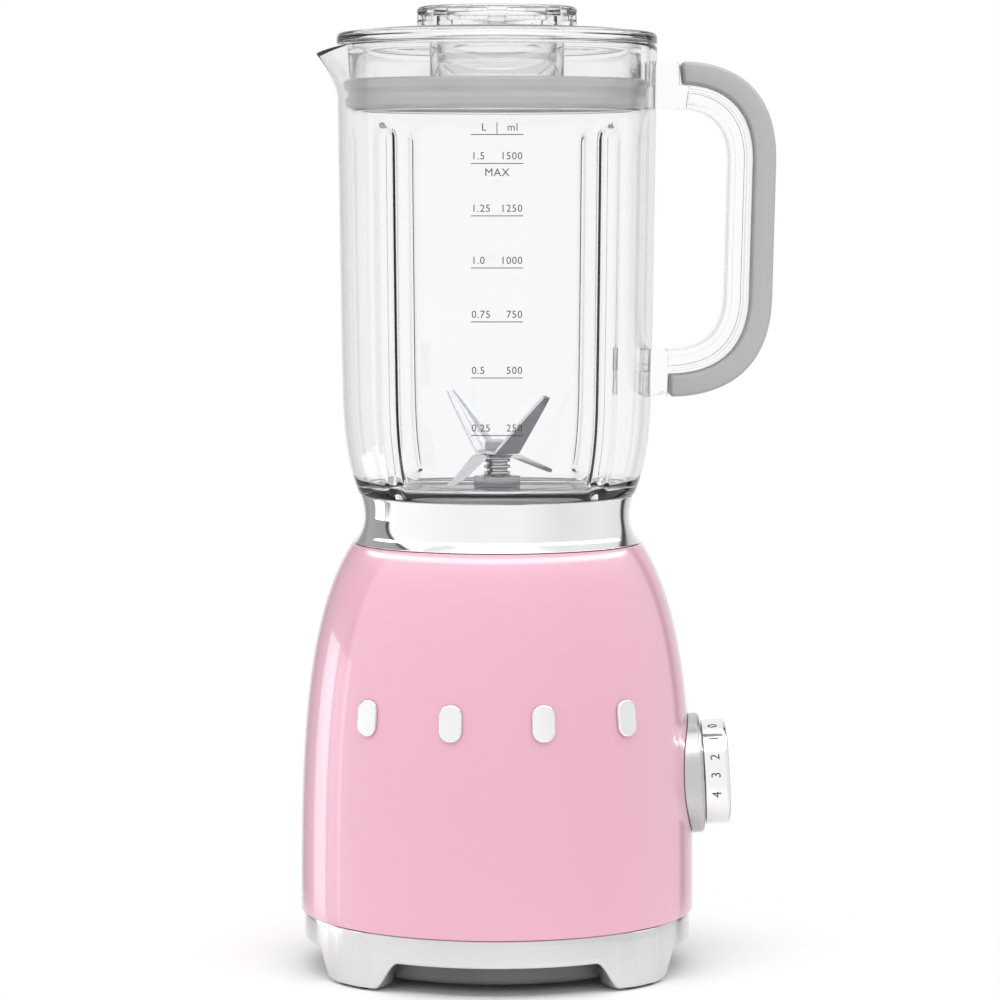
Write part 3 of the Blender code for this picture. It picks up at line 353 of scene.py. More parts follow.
def finish(name, colour, roughness, spread=0.03, rough_spread=0.04, patches=18.0, grain=900.0,
           grain_height=0.00001, stretch=None, bands=0.0, band_height=0.0001, **sockets):
    """A Principled material: colour and roughness drift in patches, with a fine grain and optional upright bands."""
    made = bpy.data.materials.new(name)
    made.use_nodes = True
    tree = made.node_tree
    shader = tree.nodes["Principled BSDF"]
    for socket, value in sockets.items():
        shader.inputs[socket.replace("_", " ")].default_value = value
    coords = node(tree, "ShaderNodeTexCoord").outputs["Object"]
    patch = noise(tree, coords, patches, stretch=stretch)
    dark = tuple(max(c * (1 - spread), 0.0) for c in colour)
    light = tuple(min(c * (1 + spread), 1.0) for c in colour)
    tree.links.new(ramp(tree, patch, ((0.35, dark), (0.65, light))), shader.inputs["Base Color"])
    wear = noise(tree, coords, patches * 4.0, 5.0, stretch)
    tree.links.new(span(tree, wear, max(roughness - rough_spread, 0.0), roughness + rough_spread),
                   shader.inputs["Roughness"])
    bump = node(tree, "ShaderNodeBump")
    bump.inputs["Distance"].default_value = grain_height
    bump.inputs["Strength"].default_value = 0.6
    tree.links.new(noise(tree, coords, grain, 2.0, stretch), bump.inputs["Height"])
    last = bump
    if bands:
        wave = node(tree, "ShaderNodeTexWave", bands_direction="Z")
        wave.inputs["Scale"].default_value = bands
        tree.links.new(coords, wave.inputs["Vector"])
        last = node(tree, "ShaderNodeBump")
        last.inputs["Distance"].default_value = band_height
        tree.links.new(wave.outputs["Fac"], last.inputs["Height"])
        tree.links.new(bump.outputs["Normal"], last.inputs["Normal"])
    tree.links.new(last.outputs["Normal"], shader.inputs["Normal"])
    return made


FINISHES = {
    "pink": finish("pink_enamel", (0.740, 0.390, 0.498), 0.30, 0.010, 0.02, 9.0, 1400.0, 0.000002,
                   Coat_Weight=1.0, Coat_Roughness=0.05, Coat_IOR=1.5),
    "chrome": finish("polished_chrome", (0.90, 0.90, 0.905), 0.07, 0.01, 0.02, 12.0, 700.0, 0.000002, Metallic=1.0),
    "satin": finish("satin_metal", (0.56, 0.56, 0.56), 0.24, 0.03, 0.05, 30.0, 1600.0, 0.00001,
                    Metallic=1.0, Anisotropic=0.4),
    "steel": finish("blade_steel", (0.58, 0.59, 0.61), 0.20, 0.04, 0.06, 30.0, 900.0, 0.000008,
                    stretch=(1.0, 6.0, 6.0), Metallic=1.0),
    "clear": finish("clear_plastic", (0.970, 0.972, 0.976), 0.015, 0.004, 0.015, 8.0, 60.0, 0.00002,
                    Transmission_Weight=1.0, IOR=1.45),
    "grip": finish("grey_grip", (0.43, 0.43, 0.445), 0.42, 0.02, 0.05, 20.0, 2200.0, 0.00002),
    "seal": finish("seal_silicone", (0.92, 0.92, 0.93), 0.40, 0.02, 0.06, 20.0, 1200.0, 0.00002,
                   Transmission_Weight=0.6, IOR=1.41),
    "dark": finish("dark_plastic", (0.045, 0.047, 0.052), 0.42, 0.10, 0.08, 25.0, 1500.0, 0.00003),
    "rubber": finish("black_rubber", (0.022, 0.022, 0.023), 0.80, 0.15, 0.08, 40.0, 1800.0, 0.00005),
    "copper": finish("copper_winding", (0.72, 0.30, 0.12), 0.34, 0.08, 0.08, 60.0, 900.0, 0.00002,
                     bands=900.0, band_height=0.0003, Metallic=1.0),
    "iron": finish("lamination_iron", (0.27, 0.28, 0.30), 0.48, 0.10, 0.08, 40.0, 900.0, 0.00002,
                   bands=600.0, band_height=0.0002, Metallic=1.0),
    "brass": finish("brass_fitting", (0.72, 0.53, 0.24), 0.32, 0.06, 0.08, 40.0, 1200.0, 0.00001, Metallic=1.0),
    "carbon": finish("carbon_block", (0.04, 0.04, 0.045), 0.62, 0.15, 0.08, 60.0, 2000.0, 0.00004),
    "board": finish("green_board", (0.05, 0.22, 0.10), 0.45, 0.12, 0.08, 120.0, 900.0, 0.00003),
    "cream": finish("cream_plastic", (0.76, 0.72, 0.60), 0.46, 0.04, 0.06, 30.0, 1500.0, 0.00003),
}
CLEAR_SEAL = finish("clear_seal", (0.93, 0.93, 0.93), 0.20, 0.01, 0.05, 20.0, 900.0, 0.00001,
                    Transmission_Weight=0.95, IOR=1.41)
RING = finish("brushed_chrome", (0.70, 0.70, 0.71), 0.16, 0.02, 0.03, 14.0, 900.0, 0.000003, Metallic=1.0)
BLADE = finish("ground_steel", (0.70, 0.71, 0.73), 0.14, 0.06, 0.06, 30.0, 900.0, 0.000008,
               stretch=(1.0, 6.0, 6.0), Metallic=1.0)
NUT = finish("dull_steel", (0.36, 0.37, 0.39), 0.22, 0.06, 0.06, 30.0, 900.0, 0.000008, Metallic=1.0)
DISH = finish("dark_steel", (0.27, 0.275, 0.285), 0.14, 0.06, 0.06, 30.0, 900.0, 0.000008, Metallic=1.0)
PAN = finish("grey_plastic", (0.135, 0.138, 0.142), 0.42, 0.08, 0.08, 25.0, 1500.0, 0.00003)
PRINT = finish("scale_ink", (0.05, 0.053, 0.057), 0.55, 0.10, 0.05, 200.0, 2500.0, 0.000005)


def piece(obj, slot, body, *nodes, look=None):
    """Give a finished piece the finish of its slot, or the look given instead, attach it to its body and hide the CAD
    nodes that it stands for.
    """
    obj.data.materials.clear()
    obj.data.materials.append(look or FINISHES[slot])
    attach(obj, body)
    if nodes:
        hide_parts(*nodes)
    return obj


# ---------------------------------------------------------------- motor base

def shell_side(count=48):
    """Outer side of the housing, top to bottom."""
    rise = SHELL_TOP - SHELL_Z
    side = bezier((COLLAR_R + 0.0004, SHELL_TOP), (BODY_R - 0.0027, SHELL_Z + 0.81 * rise),
                  (BODY_R, SHELL_Z + 0.47 * rise), (BODY_R, SHELL_Z + 0.0065), count)
    return side + [(BODY_R, SHELL_Z)]


def envelope():
    side = [(r + GAP, z) for r, z in shell_side()]
    return lathe("envelope", [(0.0, SHELL_TOP)] + side + [(0.0, SHELL_Z)])


def make_housing():
    side = shell_side()
    outer = [(*side[0], 0.0009)] + side[1:-1] + [(*side[-1], 0.0005)]
    inner = [(r - SHELL_WALL, z) for r, z in side[::-4]]
    housing = lathe("housing", soften(outer + inner))
    gland_z = (high("cord_gland").z + low("cord_gland").z) / 2
    place = Matrix.Translation((AXIS_X, BODY_R, gland_z)) @ Matrix.Rotation(-math.pi / 2, 4, "X")
    boolean(housing, drill("lead_hole", GLAND_HOLE_R, FINE, place), "DIFFERENCE")
    piece(housing, "pink", "motor_base", "body_shell")


def arch_height(from_front):
    """Height of the foot ring's lower edge, by degrees from the front or the back."""
    soft = 8.5
    if from_front < LEG_START:
        t = (from_front - (LEG_START - soft)) / soft
    else:
        t = (LEG_END + soft - from_front) / soft
    t = min(max(t, 0.0), 1.0)
    return ARCH_TOP - (ARCH_TOP - FOOT_SHOW) * t * t * (3 - 2 * t)


def apron_depth(from_front):
    """How far the band between the legs stands back from the legs' faces."""
    facet = 5.5
    start = (from_front - LEG_START) / facet
    end = (LEG_END - from_front) / facet
    return 0.0012 * (1 - min(max(min(start, end), 0.0), 1.0))


def make_foot_ring():
    columns = 720
    inner = RING_R - RING_WALL
    lip = inner + 0.0020
    edge = 0.0010

    def column(degrees):
        from_front = abs(math.degrees(math.asin(min(abs(math.cos(math.radians(degrees))), 1.0))))
        outer = RING_R - apron_depth(from_front)
        foot = arch_height(from_front)
        down = (ARCH_TOP - foot) / (ARCH_TOP - FOOT_SHOW)
        leg_in = inner - 0.0004 - down * (LEG_DEPTH - 0.0050)
        points = [(inner, RING_TOP + RING_LIP), (lip, RING_TOP + RING_LIP), (lip, RING_TOP)]
        points += [(outer - 0.0007 + 0.0007 * math.sin(a), RING_TOP - 0.0007 + 0.0007 * math.cos(a))
                   for a in (math.radians(22.5 * k) for k in range(5))]
        points += [(outer, RING_TOP - 0.0007 - (RING_TOP - 0.0007 - foot - edge) * k / 6) for k in range(1, 6)]
        points += [(outer - edge + edge * math.cos(a), foot + edge - edge * math.sin(a))
                   for a in (math.radians(18 * k) for k in range(6))]
        points += [(leg_in + 0.0005, foot), (leg_in, foot + 0.0005), (leg_in, ARCH_TOP + 0.0010),
                   (inner, ARCH_TOP + 0.0014)]
        return points

    def build(bm):
        loops = []
        for i in range(columns):
            degrees = 360 * i / columns
            loops.append([bm.verts.new(polar(r, degrees, z)) for r, z in column(degrees)])
        add_rings(bm, loops)

    piece(mesh_piece("foot_ring", build), "chrome", "motor_base", "base_ring", look=RING)


def make_pan():
    pan_r = RING_R - LEG_DEPTH - 0.0013
    flange_r = RING_R - RING_WALL - GAP
    floor_low = FOOT_SHOW + 0.0025
    floor_high = floor_low + 0.0025
    outline = soften([
        (0.0, floor_high), (pan_r - 0.0025, floor_high, 0.001), (pan_r - 0.0025, ARCH_TOP + 0.0026, 0.0008),
        (flange_r, ARCH_TOP + 0.0026, 0.0004), (flange_r, ARCH_TOP + 0.0016, 0.0004),
        (pan_r, ARCH_TOP + 0.0016, 0.0004), (pan_r, floor_low, 0.0030), (0.0, floor_low),
    ])
    pan = lathe("bottom_pan", outline)

    def build(bm):
        for i in range(5):
            block(bm, (0.0440, 0.0034, 0.02), Matrix.Translation((0, (i - 2) * 0.0090, floor_low)), 0.0012)
        for i in range(4):
            place = Matrix.Translation(polar(BODY_R - 0.0250, 45 + 90 * i, floor_low))
            bmesh.ops.create_cone(bm, cap_ends=True, segments=32, radius1=0.0042, radius2=0.0042, depth=0.0028,
                                  matrix=place)
    boolean(pan, mesh_piece("pan_cuts", build), "DIFFERENCE")
    piece(pan, "dark", "motor_base", "base_pan", look=PAN)


def knob_frame():
    """Where the knob's axis leaves the housing. Its own Z points outwards and its own X points down."""
    place = Vector((AXIS_X + at_height(shell_side(), KNOB_Z), 0, KNOB_Z))
    return Matrix.Translation(place) @ Matrix.Rotation(math.radians(90 - KNOB_TILT), 4, "Y")


def make_knob():
    place = knob_frame()
    face = BEZEL_T
    bezel = lathe("knob_surround", soften([
        (BEZEL_R, face, 0.0018), (BEZEL_R, -0.0100), (SPINDLE_R + RUN_GAP, -0.0100),
        (SPINDLE_R + RUN_GAP, face - 0.0008), (KNOB_R - 0.0010, face - 0.0008, 0.0002),
        (KNOB_R - 0.0006, face, 0.0004),
    ]), ROUND, place)
    boolean(bezel, envelope(), "DIFFERENCE")
    piece(bezel, "satin", "motor_base", "knob_bezel")

    low_z = face + RUN_GAP
    high_z = low_z + KNOB_T
    knob = lathe("speed_knob", soften([
        (0.0, high_z - 0.0004), (KNOB_R - 0.0046, high_z - 0.0004, 0.0010), (KNOB_R - 0.0038, high_z, 0.0006),
        (KNOB_R, high_z, 0.0024), (KNOB_R, low_z, 0.0003), (SPINDLE_R + GAP, low_z),
        (SPINDLE_R + GAP, high_z - 0.0030), (0.0, high_z - 0.0030),
    ]), ROUND, place)
    piece(knob, "chrome", "control_knob", "control_knob")

    middle = low_z + KNOB_T * 0.42

    def rim(angle):
        def bend(u, v, w):
            turn = math.radians(angle) + u / KNOB_R
            r = KNOB_R + INK_LIFT + w
            return (-r * math.sin(turn), -r * math.cos(turn), middle - v)
        return bend

    def build(bm):
        for i, angle in enumerate(DIGIT_ANGLES):
            lettering(bm, str(i), 0.0040, 0.0, -0.0020, rim(angle), "CENTER")
    digits = mesh_piece("knob_digits", build, place)
    piece(digits, "dark", "control_knob", look=PRINT)


def make_spring():
    """The coil spring under the interlock pin."""
    foot, top = low("interlock_spring").z, high("interlock_spring").z
    middle_x = (low("interlock_spring").x + high("interlock_spring").x) / 2
    wire, turns, per_turn, sides = 0.00035, 4, 32, 12
    radius = half_width("interlock_spring") - wire
    rise = top - foot - 2 * wire

    def build(bm):
        rings = []
        for i in range(turns * per_turn + 1):
            turn = 2 * math.pi * i / per_turn
            out = Vector((math.cos(turn), math.sin(turn), 0))
            along = Vector((-math.sin(turn), math.cos(turn), rise / (2 * math.pi * radius * turns))).normalized()
            up = along.cross(out)
            centre = out * radius + Vector((0, 0, foot + wire + rise * i / (turns * per_turn)))
            angles = [2 * math.pi * k / sides for k in range(sides)]
            rings.append([bm.verts.new(centre + (out * math.cos(a) + up * math.sin(a)) * wire) for a in angles])
        for near, far in zip(rings, rings[1:]):
            for k in range(sides):
                bm.faces.new((near[k], near[(k + 1) % sides], far[(k + 1) % sides], far[k]))
        bm.faces.new(rings[0])
        bm.faces.new(rings[-1])
    spring = mesh_piece("pin_spring", build, Matrix.Translation((middle_x, 0, 0)))
    piece(spring, "steel", "interlock_pin", "interlock_spring")
    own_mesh(spring)


def make_studs():
    side = shell_side()
    radius = at_height(side, STUD_Z)
    half_w, half_h = STUD_SIZE[0] / 2, STUD_SIZE[1] / 2
    slope = math.atan2(at_height(side, STUD_Z - 0.002) - at_height(side, STUD_Z + 0.002), 0.004)
    corners = [(half_w, half_h), (-half_w, half_h), (-half_w, -half_h), (half_w, -half_h)]
    outline = soften([(x, y, half_w * 0.98) for x, y in corners], 12)
    for i, from_front in enumerate(STUD_ANGLES):
        azimuth = math.radians(from_front)
        out = Vector((math.sin(azimuth), -math.cos(azimuth), 0))
        lean = Matrix.Rotation(azimuth, 4, "Z") @ Matrix.Rotation(math.pi / 2 - slope, 4, "X")
        centre = out * (radius + STUD_PROUD - 0.0030) + Vector((AXIS_X, 0, STUD_Z))
        stud = slab(f"stud_{i + 1}", outline, 0.0030, 0.0009, Matrix.Translation(centre) @ lean)
        boolean(stud, envelope(), "DIFFERENCE")
        piece(stud, "chrome", "motor_base", f"badge_stud_{i + 1}")


# ---------------------------------------------------------------- jug and handle

def jug_side(rows=24):
    """Outer side of the jug, rim to foot."""
    upper = (JUG_R - 0.0023, JUG_Z + 0.0380)
    wall = bezier((JUG_R, JUG_TOP), (JUG_R - 0.0008, JUG_TOP - 0.0400), (upper[0] + 0.0010, upper[1] + 0.0400),
                  upper, rows)
    foot = bezier(upper, (upper[0] - 0.0006, JUG_Z + 0.0200), (JUG_BASE_R + 0.0036, JUG_Z + 0.0084),
                  (JUG_BASE_R, JUG_Z), rows)
    return wall[:-1] + foot


def spout_push(angle, z):
    """How far the rim is drawn out at the spout, which is at 180 degrees."""
    rise = (z - JUG_TOP + SPOUT_H) / SPOUT_H
    off = abs(math.remainder(angle - math.pi, 2 * math.pi)) / math.radians(24)
    if rise <= 0 or off >= 1:
        return 0.0
    crest = 1 - math.sqrt(off * off + 0.004) + 0.0632
    return SPOUT_OUT * min(rise, 1.0) ** 1.6 * max(crest, 0.0) ** 1.25


def flute_push(angle, z, radius):
    """How far the wall is pressed in at the four flutes, which have round tops."""
    half = 0.0056
    from_front = abs(math.degrees(math.remainder(angle + math.pi / 2, 2 * math.pi)))
    off = math.radians(min(abs(from_front - flute) for flute in FLUTES)) * radius / half
    over = max(z - (FLUTE_TOP - half), 0.0) / half
    reach = math.hypot(off, over)
    foot = min(max((z - JUG_Z - 0.0010) / 0.0090, 0.0), 1.0)
    if reach >= 1:
        return 0.0
    return FLUTE_DEPTH * (1 - reach ** 2) ** 1.6 * foot * foot * (3 - 2 * foot)


def handle_edge(inset, count=28):
    """Points along the handle's outline, this far inside its outer edge, from its top end to its foot."""
    reach, top, foot = HANDLE_REACH, HANDLE_TOP, HANDLE_FOOT
    upper = bezier((HANDLE_NOSE, top - inset), (reach - 0.0158 - 0.55 * inset, top - inset),
                   (reach - inset, top - 0.0120 - 0.8 * inset), (reach - inset, top - 0.0400), count)
    lower = bezier((reach - inset - 0.0014, foot + 0.0400), (reach - inset - 0.0025, foot + 0.0108 + 0.9 * inset),
                   (reach - 0.0205 - 0.35 * inset, foot + inset), (HANDLE_HEEL, foot + inset), count)
    return upper + lower


UPRIGHT = Matrix.Translation((AXIS_X, 0, 0)) @ Matrix.Rotation(math.pi / 2, 4, "X")


def make_handle_core():
    """The clear loop, joined to the jug's wall at both ends."""
    top, foot = HANDLE_TOP, HANDLE_FOOT
    thick = GRIP_T + HANDLE_T
    side = jug_side()
    root_top = at_height(side, top) - JUG_WALL * 0.5
    root_foot = at_height(side, foot) - JUG_WALL * 0.5
    shoulder = HANDLE_NOSE - GAP
    outer = handle_edge(GRIP_T + GAP)
    inner = handle_edge(thick)
    corners = [(root_top, top), (shoulder, top, 0.0022)] + outer
    corners += [(HANDLE_HEEL - GAP, foot, 0.0016), (root_foot, foot), (root_foot, foot + thick)]
    corners += inner[::-1] + [(root_top, top - thick)]
    loop = slab("handle_loop", soften(corners), HANDLE_W / 2, 0.0018, UPRIGHT)
    outer = handle_edge(GRIP_T + GAP + 0.0022)[2:]
    inner = handle_edge(thick - 0.0024)[2:]
    for side in (-1, 1):
        place = Matrix.Translation((0, side * HANDLE_W / 2, 0)) @ UPRIGHT
        channel = slab(f"channel_{side}", outer + inner[::-1], 0.0016, 0.0006, place)
        boolean(loop, channel, "DIFFERENCE")
    return loop


def make_jug():
    side = jug_side()
    step = 0.0022
    heights = [JUG_TOP - 0.0013 - step * i for i in range(int((JUG_TOP - 0.0013 - JUG_Z - 0.0010) / step))]
    outer = [(at_height(side, z), z) for z in heights]
    outer += [(JUG_BASE_R + 0.0004, JUG_Z + 0.0008), (JUG_BASE_R - 0.0006, JUG_Z)]
    floor_z = JUG_Z + JUG_WALL
    inner = [(r - JUG_WALL, z) for r, z in outer if z > floor_z + 0.0034]
    rim_r, rim_z = outer[0][0] - JUG_WALL / 2, JUG_TOP - 0.0013
    rim = [(rim_r + JUG_WALL / 2 * math.cos(a), rim_z + 0.0013 * math.sin(a))
           for a in (math.radians(180 - 22.5 * k) for k in range(1, 8))]
    dish = bezier((inner[-1][0], inner[-1][1]), (inner[-1][0] - 0.0012, floor_z + 0.0010),
                  (inner[-1][0] - 0.0050, floor_z), (NECK_BORE + 0.0012, floor_z), 9)[1:]
    neck = soften([
        (NECK_R, JUG_Z), (NECK_R, NECK_Z, 0.0008), (NECK_BORE, NECK_Z, 0.0004), (NECK_BORE, floor_z - 0.0006),
    ])
    rows = [(r, z, True) for r, z in outer] + [(r, z, False) for r, z in neck]
    rows += [(r, z, False) for r, z in dish[::-1]] + [(r, z, True) for r, z in inner[::-1]]
    rows += [(r, z, True) for r, z in rim]
    steps = 256

    def build(bm):
        rings = []
        for r, z, shaped in rows:
            ring = []
            for i in range(steps):
                angle = 2 * math.pi * i / steps
                spout = spout_push(angle, z) if shaped else 0.0
                flute = flute_push(angle, z, r) if shaped else 0.0
                drop = SPOUT_DROP * spout / SPOUT_OUT
                ring.append(bm.verts.new(polar(r + spout - flute, math.degrees(angle), z - drop)))
            rings.append(ring)
        add_rings(bm, rings)

    jug = mesh_piece("clear_jug", build)
    boolean(jug, make_handle_core(), "UNION")
    piece(jug, "clear", "jug", "jug")

    outer_edge = handle_edge(0.0)
    inner_edge = handle_edge(GRIP_T)
    nose = HANDLE_NOSE + GAP
    foot_x = HANDLE_HEEL + GAP
    corners = [(nose, HANDLE_TOP, 0.0018)] + outer_edge[2:-2] + [(foot_x, HANDLE_FOOT, 0.0018)]
    corners += [(foot_x, inner_edge[-1][1], 0.0018)] + inner_edge[-3:1:-1]
    corners += [(nose + 0.0010, HANDLE_TOP - GRIP_T, 0.0030)]
    grip = slab("soft_grip", soften(corners), GRIP_W / 2, 0.0015, UPRIGHT, depth=0.0045)
    piece(grip, "grip", "jug", "handle_grip")


# ---------------------------------------------------------------- lettering

def lettering(bm, words, height, u, v, bend, align="LEFT"):
    """Add a word to a mesh. bend(u, v, w) says where a point of the flat sheet of ink goes."""
    font = bpy.data.curves.new(words, "FONT")
    font.body = words
    font.size = height / 0.72
    font.align_x = align
    font.resolution_u = 3
    font.space_character = 1.08
    drawn = bpy.data.objects.new(words, font)
    bpy.context.scene.collection.objects.link(drawn)
    bpy.context.view_layer.update()
    mesh = bpy.data.meshes.new_from_object(drawn.evaluated_get(bpy.context.evaluated_depsgraph_get()))
    bpy.data.objects.remove(drawn)
    bpy.data.curves.remove(font)
    flat = bmesh.new()
    flat.from_mesh(mesh)
    bpy.data.meshes.remove(mesh)
    bmesh.ops.remove_doubles(flat, verts=flat.verts, dist=1e-7)
    extruded = bmesh.ops.extrude_face_region(flat, geom=list(flat.faces), use_keep_orig=True)
    for item in extruded["geom"]:
        if isinstance(item, bmesh.types.BMVert):
            item.co.z += INK
    lookup = {}
    for vert in flat.verts:
        lookup[vert] = bm.verts.new(bend(u + vert.co.x, v + vert.co.y, vert.co.z))
    for face in flat.faces:
        bm.faces.new([lookup[vert] for vert in face.verts])
    flat.free()


def rule(bm, u0, u1, v0, v1, bend):
    """A printed bar between two corners of the flat sheet of ink."""
    count = max(int(abs(u1 - u0) / 0.0015), 1)
    rings = []
    for i in range(count + 1):
        u = u0 + (u1 - u0) * i / count
        rings.append([bm.verts.new(bend(u, v, w)) for v, w in ((v0, 0.0), (v1, 0.0), (v1, INK), (v0, INK))])
    for near, far in zip(rings, rings[1:]):
        for k in range(4):
            bm.faces.new((near[k], near[(k + 1) % 4], far[(k + 1) % 4], far[k]))
    bm.faces.new(rings[0])
    bm.faces.new(rings[-1])


def make_scale():
    """The measuring scale at the jug's front: litres on the left, millilitres on the right."""
    side = jug_side()
    half, line = 0.0104, 0.00034
    rows = ((0.2244, "0.25", "250"), (0.2474, "0.5", "500"), (0.2697, "0.75", "750"), (0.2911, "1.0", "1000"),
            (0.3117, "1.25", "1250"), (0.3324, "1.5", "1500"), (0.3438, "L", "ml"))

    def bend(u, v, w):
        r = at_height(side, v) + INK_LIFT + w
        return (r * math.sin(u / r), -r * math.cos(u / r), v)

    def build(bm):
        for z, litres, millilitres in rows:
            rule(bm, -half, half, z - line / 2, z + line / 2, bend)
            if litres == "L":
                lettering(bm, litres, 0.0031, -0.0052, z + 0.0015, bend, "CENTER")
                lettering(bm, millilitres, 0.0031, 0.0062, z + 0.0015, bend, "CENTER")
                rule(bm, -line / 2, line / 2, z + line / 2, z + 0.0048, bend)
            else:
                lettering(bm, litres, 0.0030, -half + 0.0002, z + 0.0016, bend, "LEFT")
                lettering(bm, millilitres, 0.0030, half - 0.0002, z + 0.0016, bend, "RIGHT")
            if litres == "1.5":
                lettering(bm, "MAX", 0.0032, 0.0, z - 0.0050, bend, "CENTER")
    piece(mesh_piece("measuring_scale", build), "dark", "jug", look=PRINT)


# ---------------------------------------------------------------- blade base

def make_collar():
    top_r = JUG_BASE_R - 0.0004
    waist_r = top_r - 0.0016
    side = bezier((top_r, COLLAR_TOP), (waist_r - 0.0008, COLLAR_TOP - 0.0090),
                  (waist_r - 0.0006, COLLAR_Z + 0.0060), (COLLAR_R, COLLAR_Z), 36)
    outline = [(*side[0], 0.0006)] + side[1:-1] + [(*side[-1], 0.0006)]
    outline += [(SEAT_RING_R + RUN_GAP, COLLAR_Z, 0.0005), (SEAT_RING_R + RUN_GAP, COLLAR_Z + LIP_T, 0.0003),
                (NECK_R + RUN_GAP, COLLAR_Z + LIP_T), (NECK_R + RUN_GAP, COLLAR_TOP, 0.0004)]
    piece(lathe("collar", soften(outline)), "chrome", "blade_base", "jug_collar")


def make_dish():
    low_z = low("jug_gasket").z - GAP
    carrier_low, dish_z, tube_low = low("blade_carrier").z, JUG_Z - 0.0012, JUG_Z - 0.0028
    rise_r = NECK_BORE - RUN_GAP
    thin = 0.0014
    outline = soften([
        (0.0062, dish_z + thin), (rise_r - 0.0060, dish_z + thin, 0.002),
        (rise_r - 0.0030, dish_z + thin + 0.0016, 0.002),
        (rise_r - 0.0012, dish_z + thin + 0.0016, 0.001), (rise_r, dish_z + thin, 0.001), (rise_r, low_z, 0.0006),
        (NECK_R, low_z), (NECK_R, carrier_low), (rise_r - thin, carrier_low), (rise_r - thin, dish_z, 0.001),
        (0.0072, dish_z), (0.0072, tube_low), (0.0062, tube_low),
    ])
    piece(lathe("steel_dish", outline), "steel", "blade_base", "blade_carrier", look=DISH)


def hexagon(across):
    corner = across / math.sqrt(3)
    return [polar(corner, a, 0)[:2] for a in range(0, 360, 60)]


def make_nut(name, across, bore, low_z, high_z, edge, body, source):
    place = Matrix.Translation((AXIS_X, 0, (low_z + high_z) / 2))
    outline = soften([(x, y, edge) for x, y in hexagon(across)], 4)
    nut = slab(name, outline, (high_z - low_z) / 2, edge, place)
    boolean(nut, drill("hole", bore, 64, place), "DIFFERENCE")
    piece(nut, "steel", body, source, look=NUT)


def make_blade(name, z, angle, wings, source):
    """One strip bent up or down outside its hub: a bevelled edge on one side and slanted tips."""
    bend = 0.0078
    stations = (0.0, 0.10, 0.25, 0.45, 0.65, 0.85, 1.0)
    half_t = BLADE_T / 2
    grind = 0.0016

    def section(x, height, lead, half, sign, slope):
        """Corners of the strip's section. The ground side is at +Y on the +X wing and at -Y on the other."""
        up = Vector((-slope, 0, 1)).normalized()
        corners = ((-half, half_t), (half - grind, half_t), (half, -0.6 * half_t), (half, -half_t), (-half, -half_t))
        return [Vector((x, sign * (y + lead), height)) + up * t for y, t in corners]

    def build(bm):
        rings = []
        for sign, (reach, rise, root, tip, lead) in ((-1, wings[0]), (1, wings[1])):
            slope = rise / (reach - bend)
            part = []
            for share in stations:
                x = bend + (reach - bend) * share
                half = root * (1 - share) ** 0.85 + tip * (1 - (1 - share) ** 0.85)
                part.append(section(sign * x, rise * share, lead * share, half, sign, sign * slope))
            for k in (0.90, 0.75, 0.5):
                tilt = sign * slope * 0.5 * (k == 0.90)
                part.insert(0, section(sign * bend * k, rise * 0.004 * k, 0.0, root, sign, tilt))
            if sign < 0:
                part = part[::-1]
            else:
                part = [[ring[1], ring[0], ring[4], ring[3], ring[2]] for ring in part]
            rings.append(part)
        loops = [[bm.verts.new(p) for p in ring] for part in rings for ring in part]
        for near, far in zip(loops, loops[1:]):
            for k in range(5):
                bm.faces.new((near[k], near[(k + 1) % 5], far[(k + 1) % 5], far[k]))
        bm.faces.new(loops[0])
        bm.faces.new(loops[-1])
    place = Matrix.Translation((AXIS_X, 0, z)) @ Matrix.Rotation(math.radians(angle), 4, "Z")
    blade = mesh_piece(name, build, place)
    boolean(blade, drill("hole", BLADE_SHAFT_R + GAP, 64, place), "DIFFERENCE")
    piece(blade, "steel", "blades", source, look=BLADE)


def make_blades():
    nut_low, nut_high = low("hub_nut").z, high("hub_nut").z
    make_nut("hexagon_hub", 0.0169, 0.0062, nut_low, nut_high, 0.0007, "blade_base", "hub_nut")
    lower_z = high("blade_lower").z - BLADE_T / 2
    upper_z = low("blade_upper").z + BLADE_T / 2
    make_blade("down_blade", lower_z, 25, ((0.0240, -0.0138, 0.0057, 0.0016, 0.003),
                                          (0.0260, -0.0070, 0.0057, 0.0016, 0.003)), "blade_lower")
    make_blade("up_blade", upper_z, 120, ((0.0330, 0.0240, 0.0057, 0.0014, 0.004),
                                          (0.0330, 0.0240, 0.0057, 0.0014, 0.004)), "blade_upper")
    cap_low, cap_high = low("blade_nut").z, high("blade_nut").z
    make_nut("lock_nut", 0.0088, BLADE_SHAFT_R + GAP, cap_low, cap_high, 0.0004, "blades", "blade_nut")
    foot, top = low("blade_shaft").z, high("blade_shaft").z
    collar_low, collar_high = nut_high + RUN_GAP, lower_z - BLADE_T / 2 - GAP
    rib = (collar_high - collar_low) / 5
    outline = [(0.0, top), (BLADE_SHAFT_R, top, 0.0008), (BLADE_SHAFT_R, collar_high)]
    for i in range(5):
        r = 0.0055 if i % 2 == 0 else 0.0044
        outline += [(r, collar_high - rib * i, 0.0004), (r, collar_high - rib * (i + 1), 0.0004)]
    outline += [(BLADE_SHAFT_R, collar_low), (BLADE_SHAFT_R, foot, 0.0004), (0.0, foot)]
    piece(lathe("ribbed_shaft", soften(outline, 4), FINE), "steel", "blades", "blade_shaft")


# ---------------------------------------------------------------- lid and cap

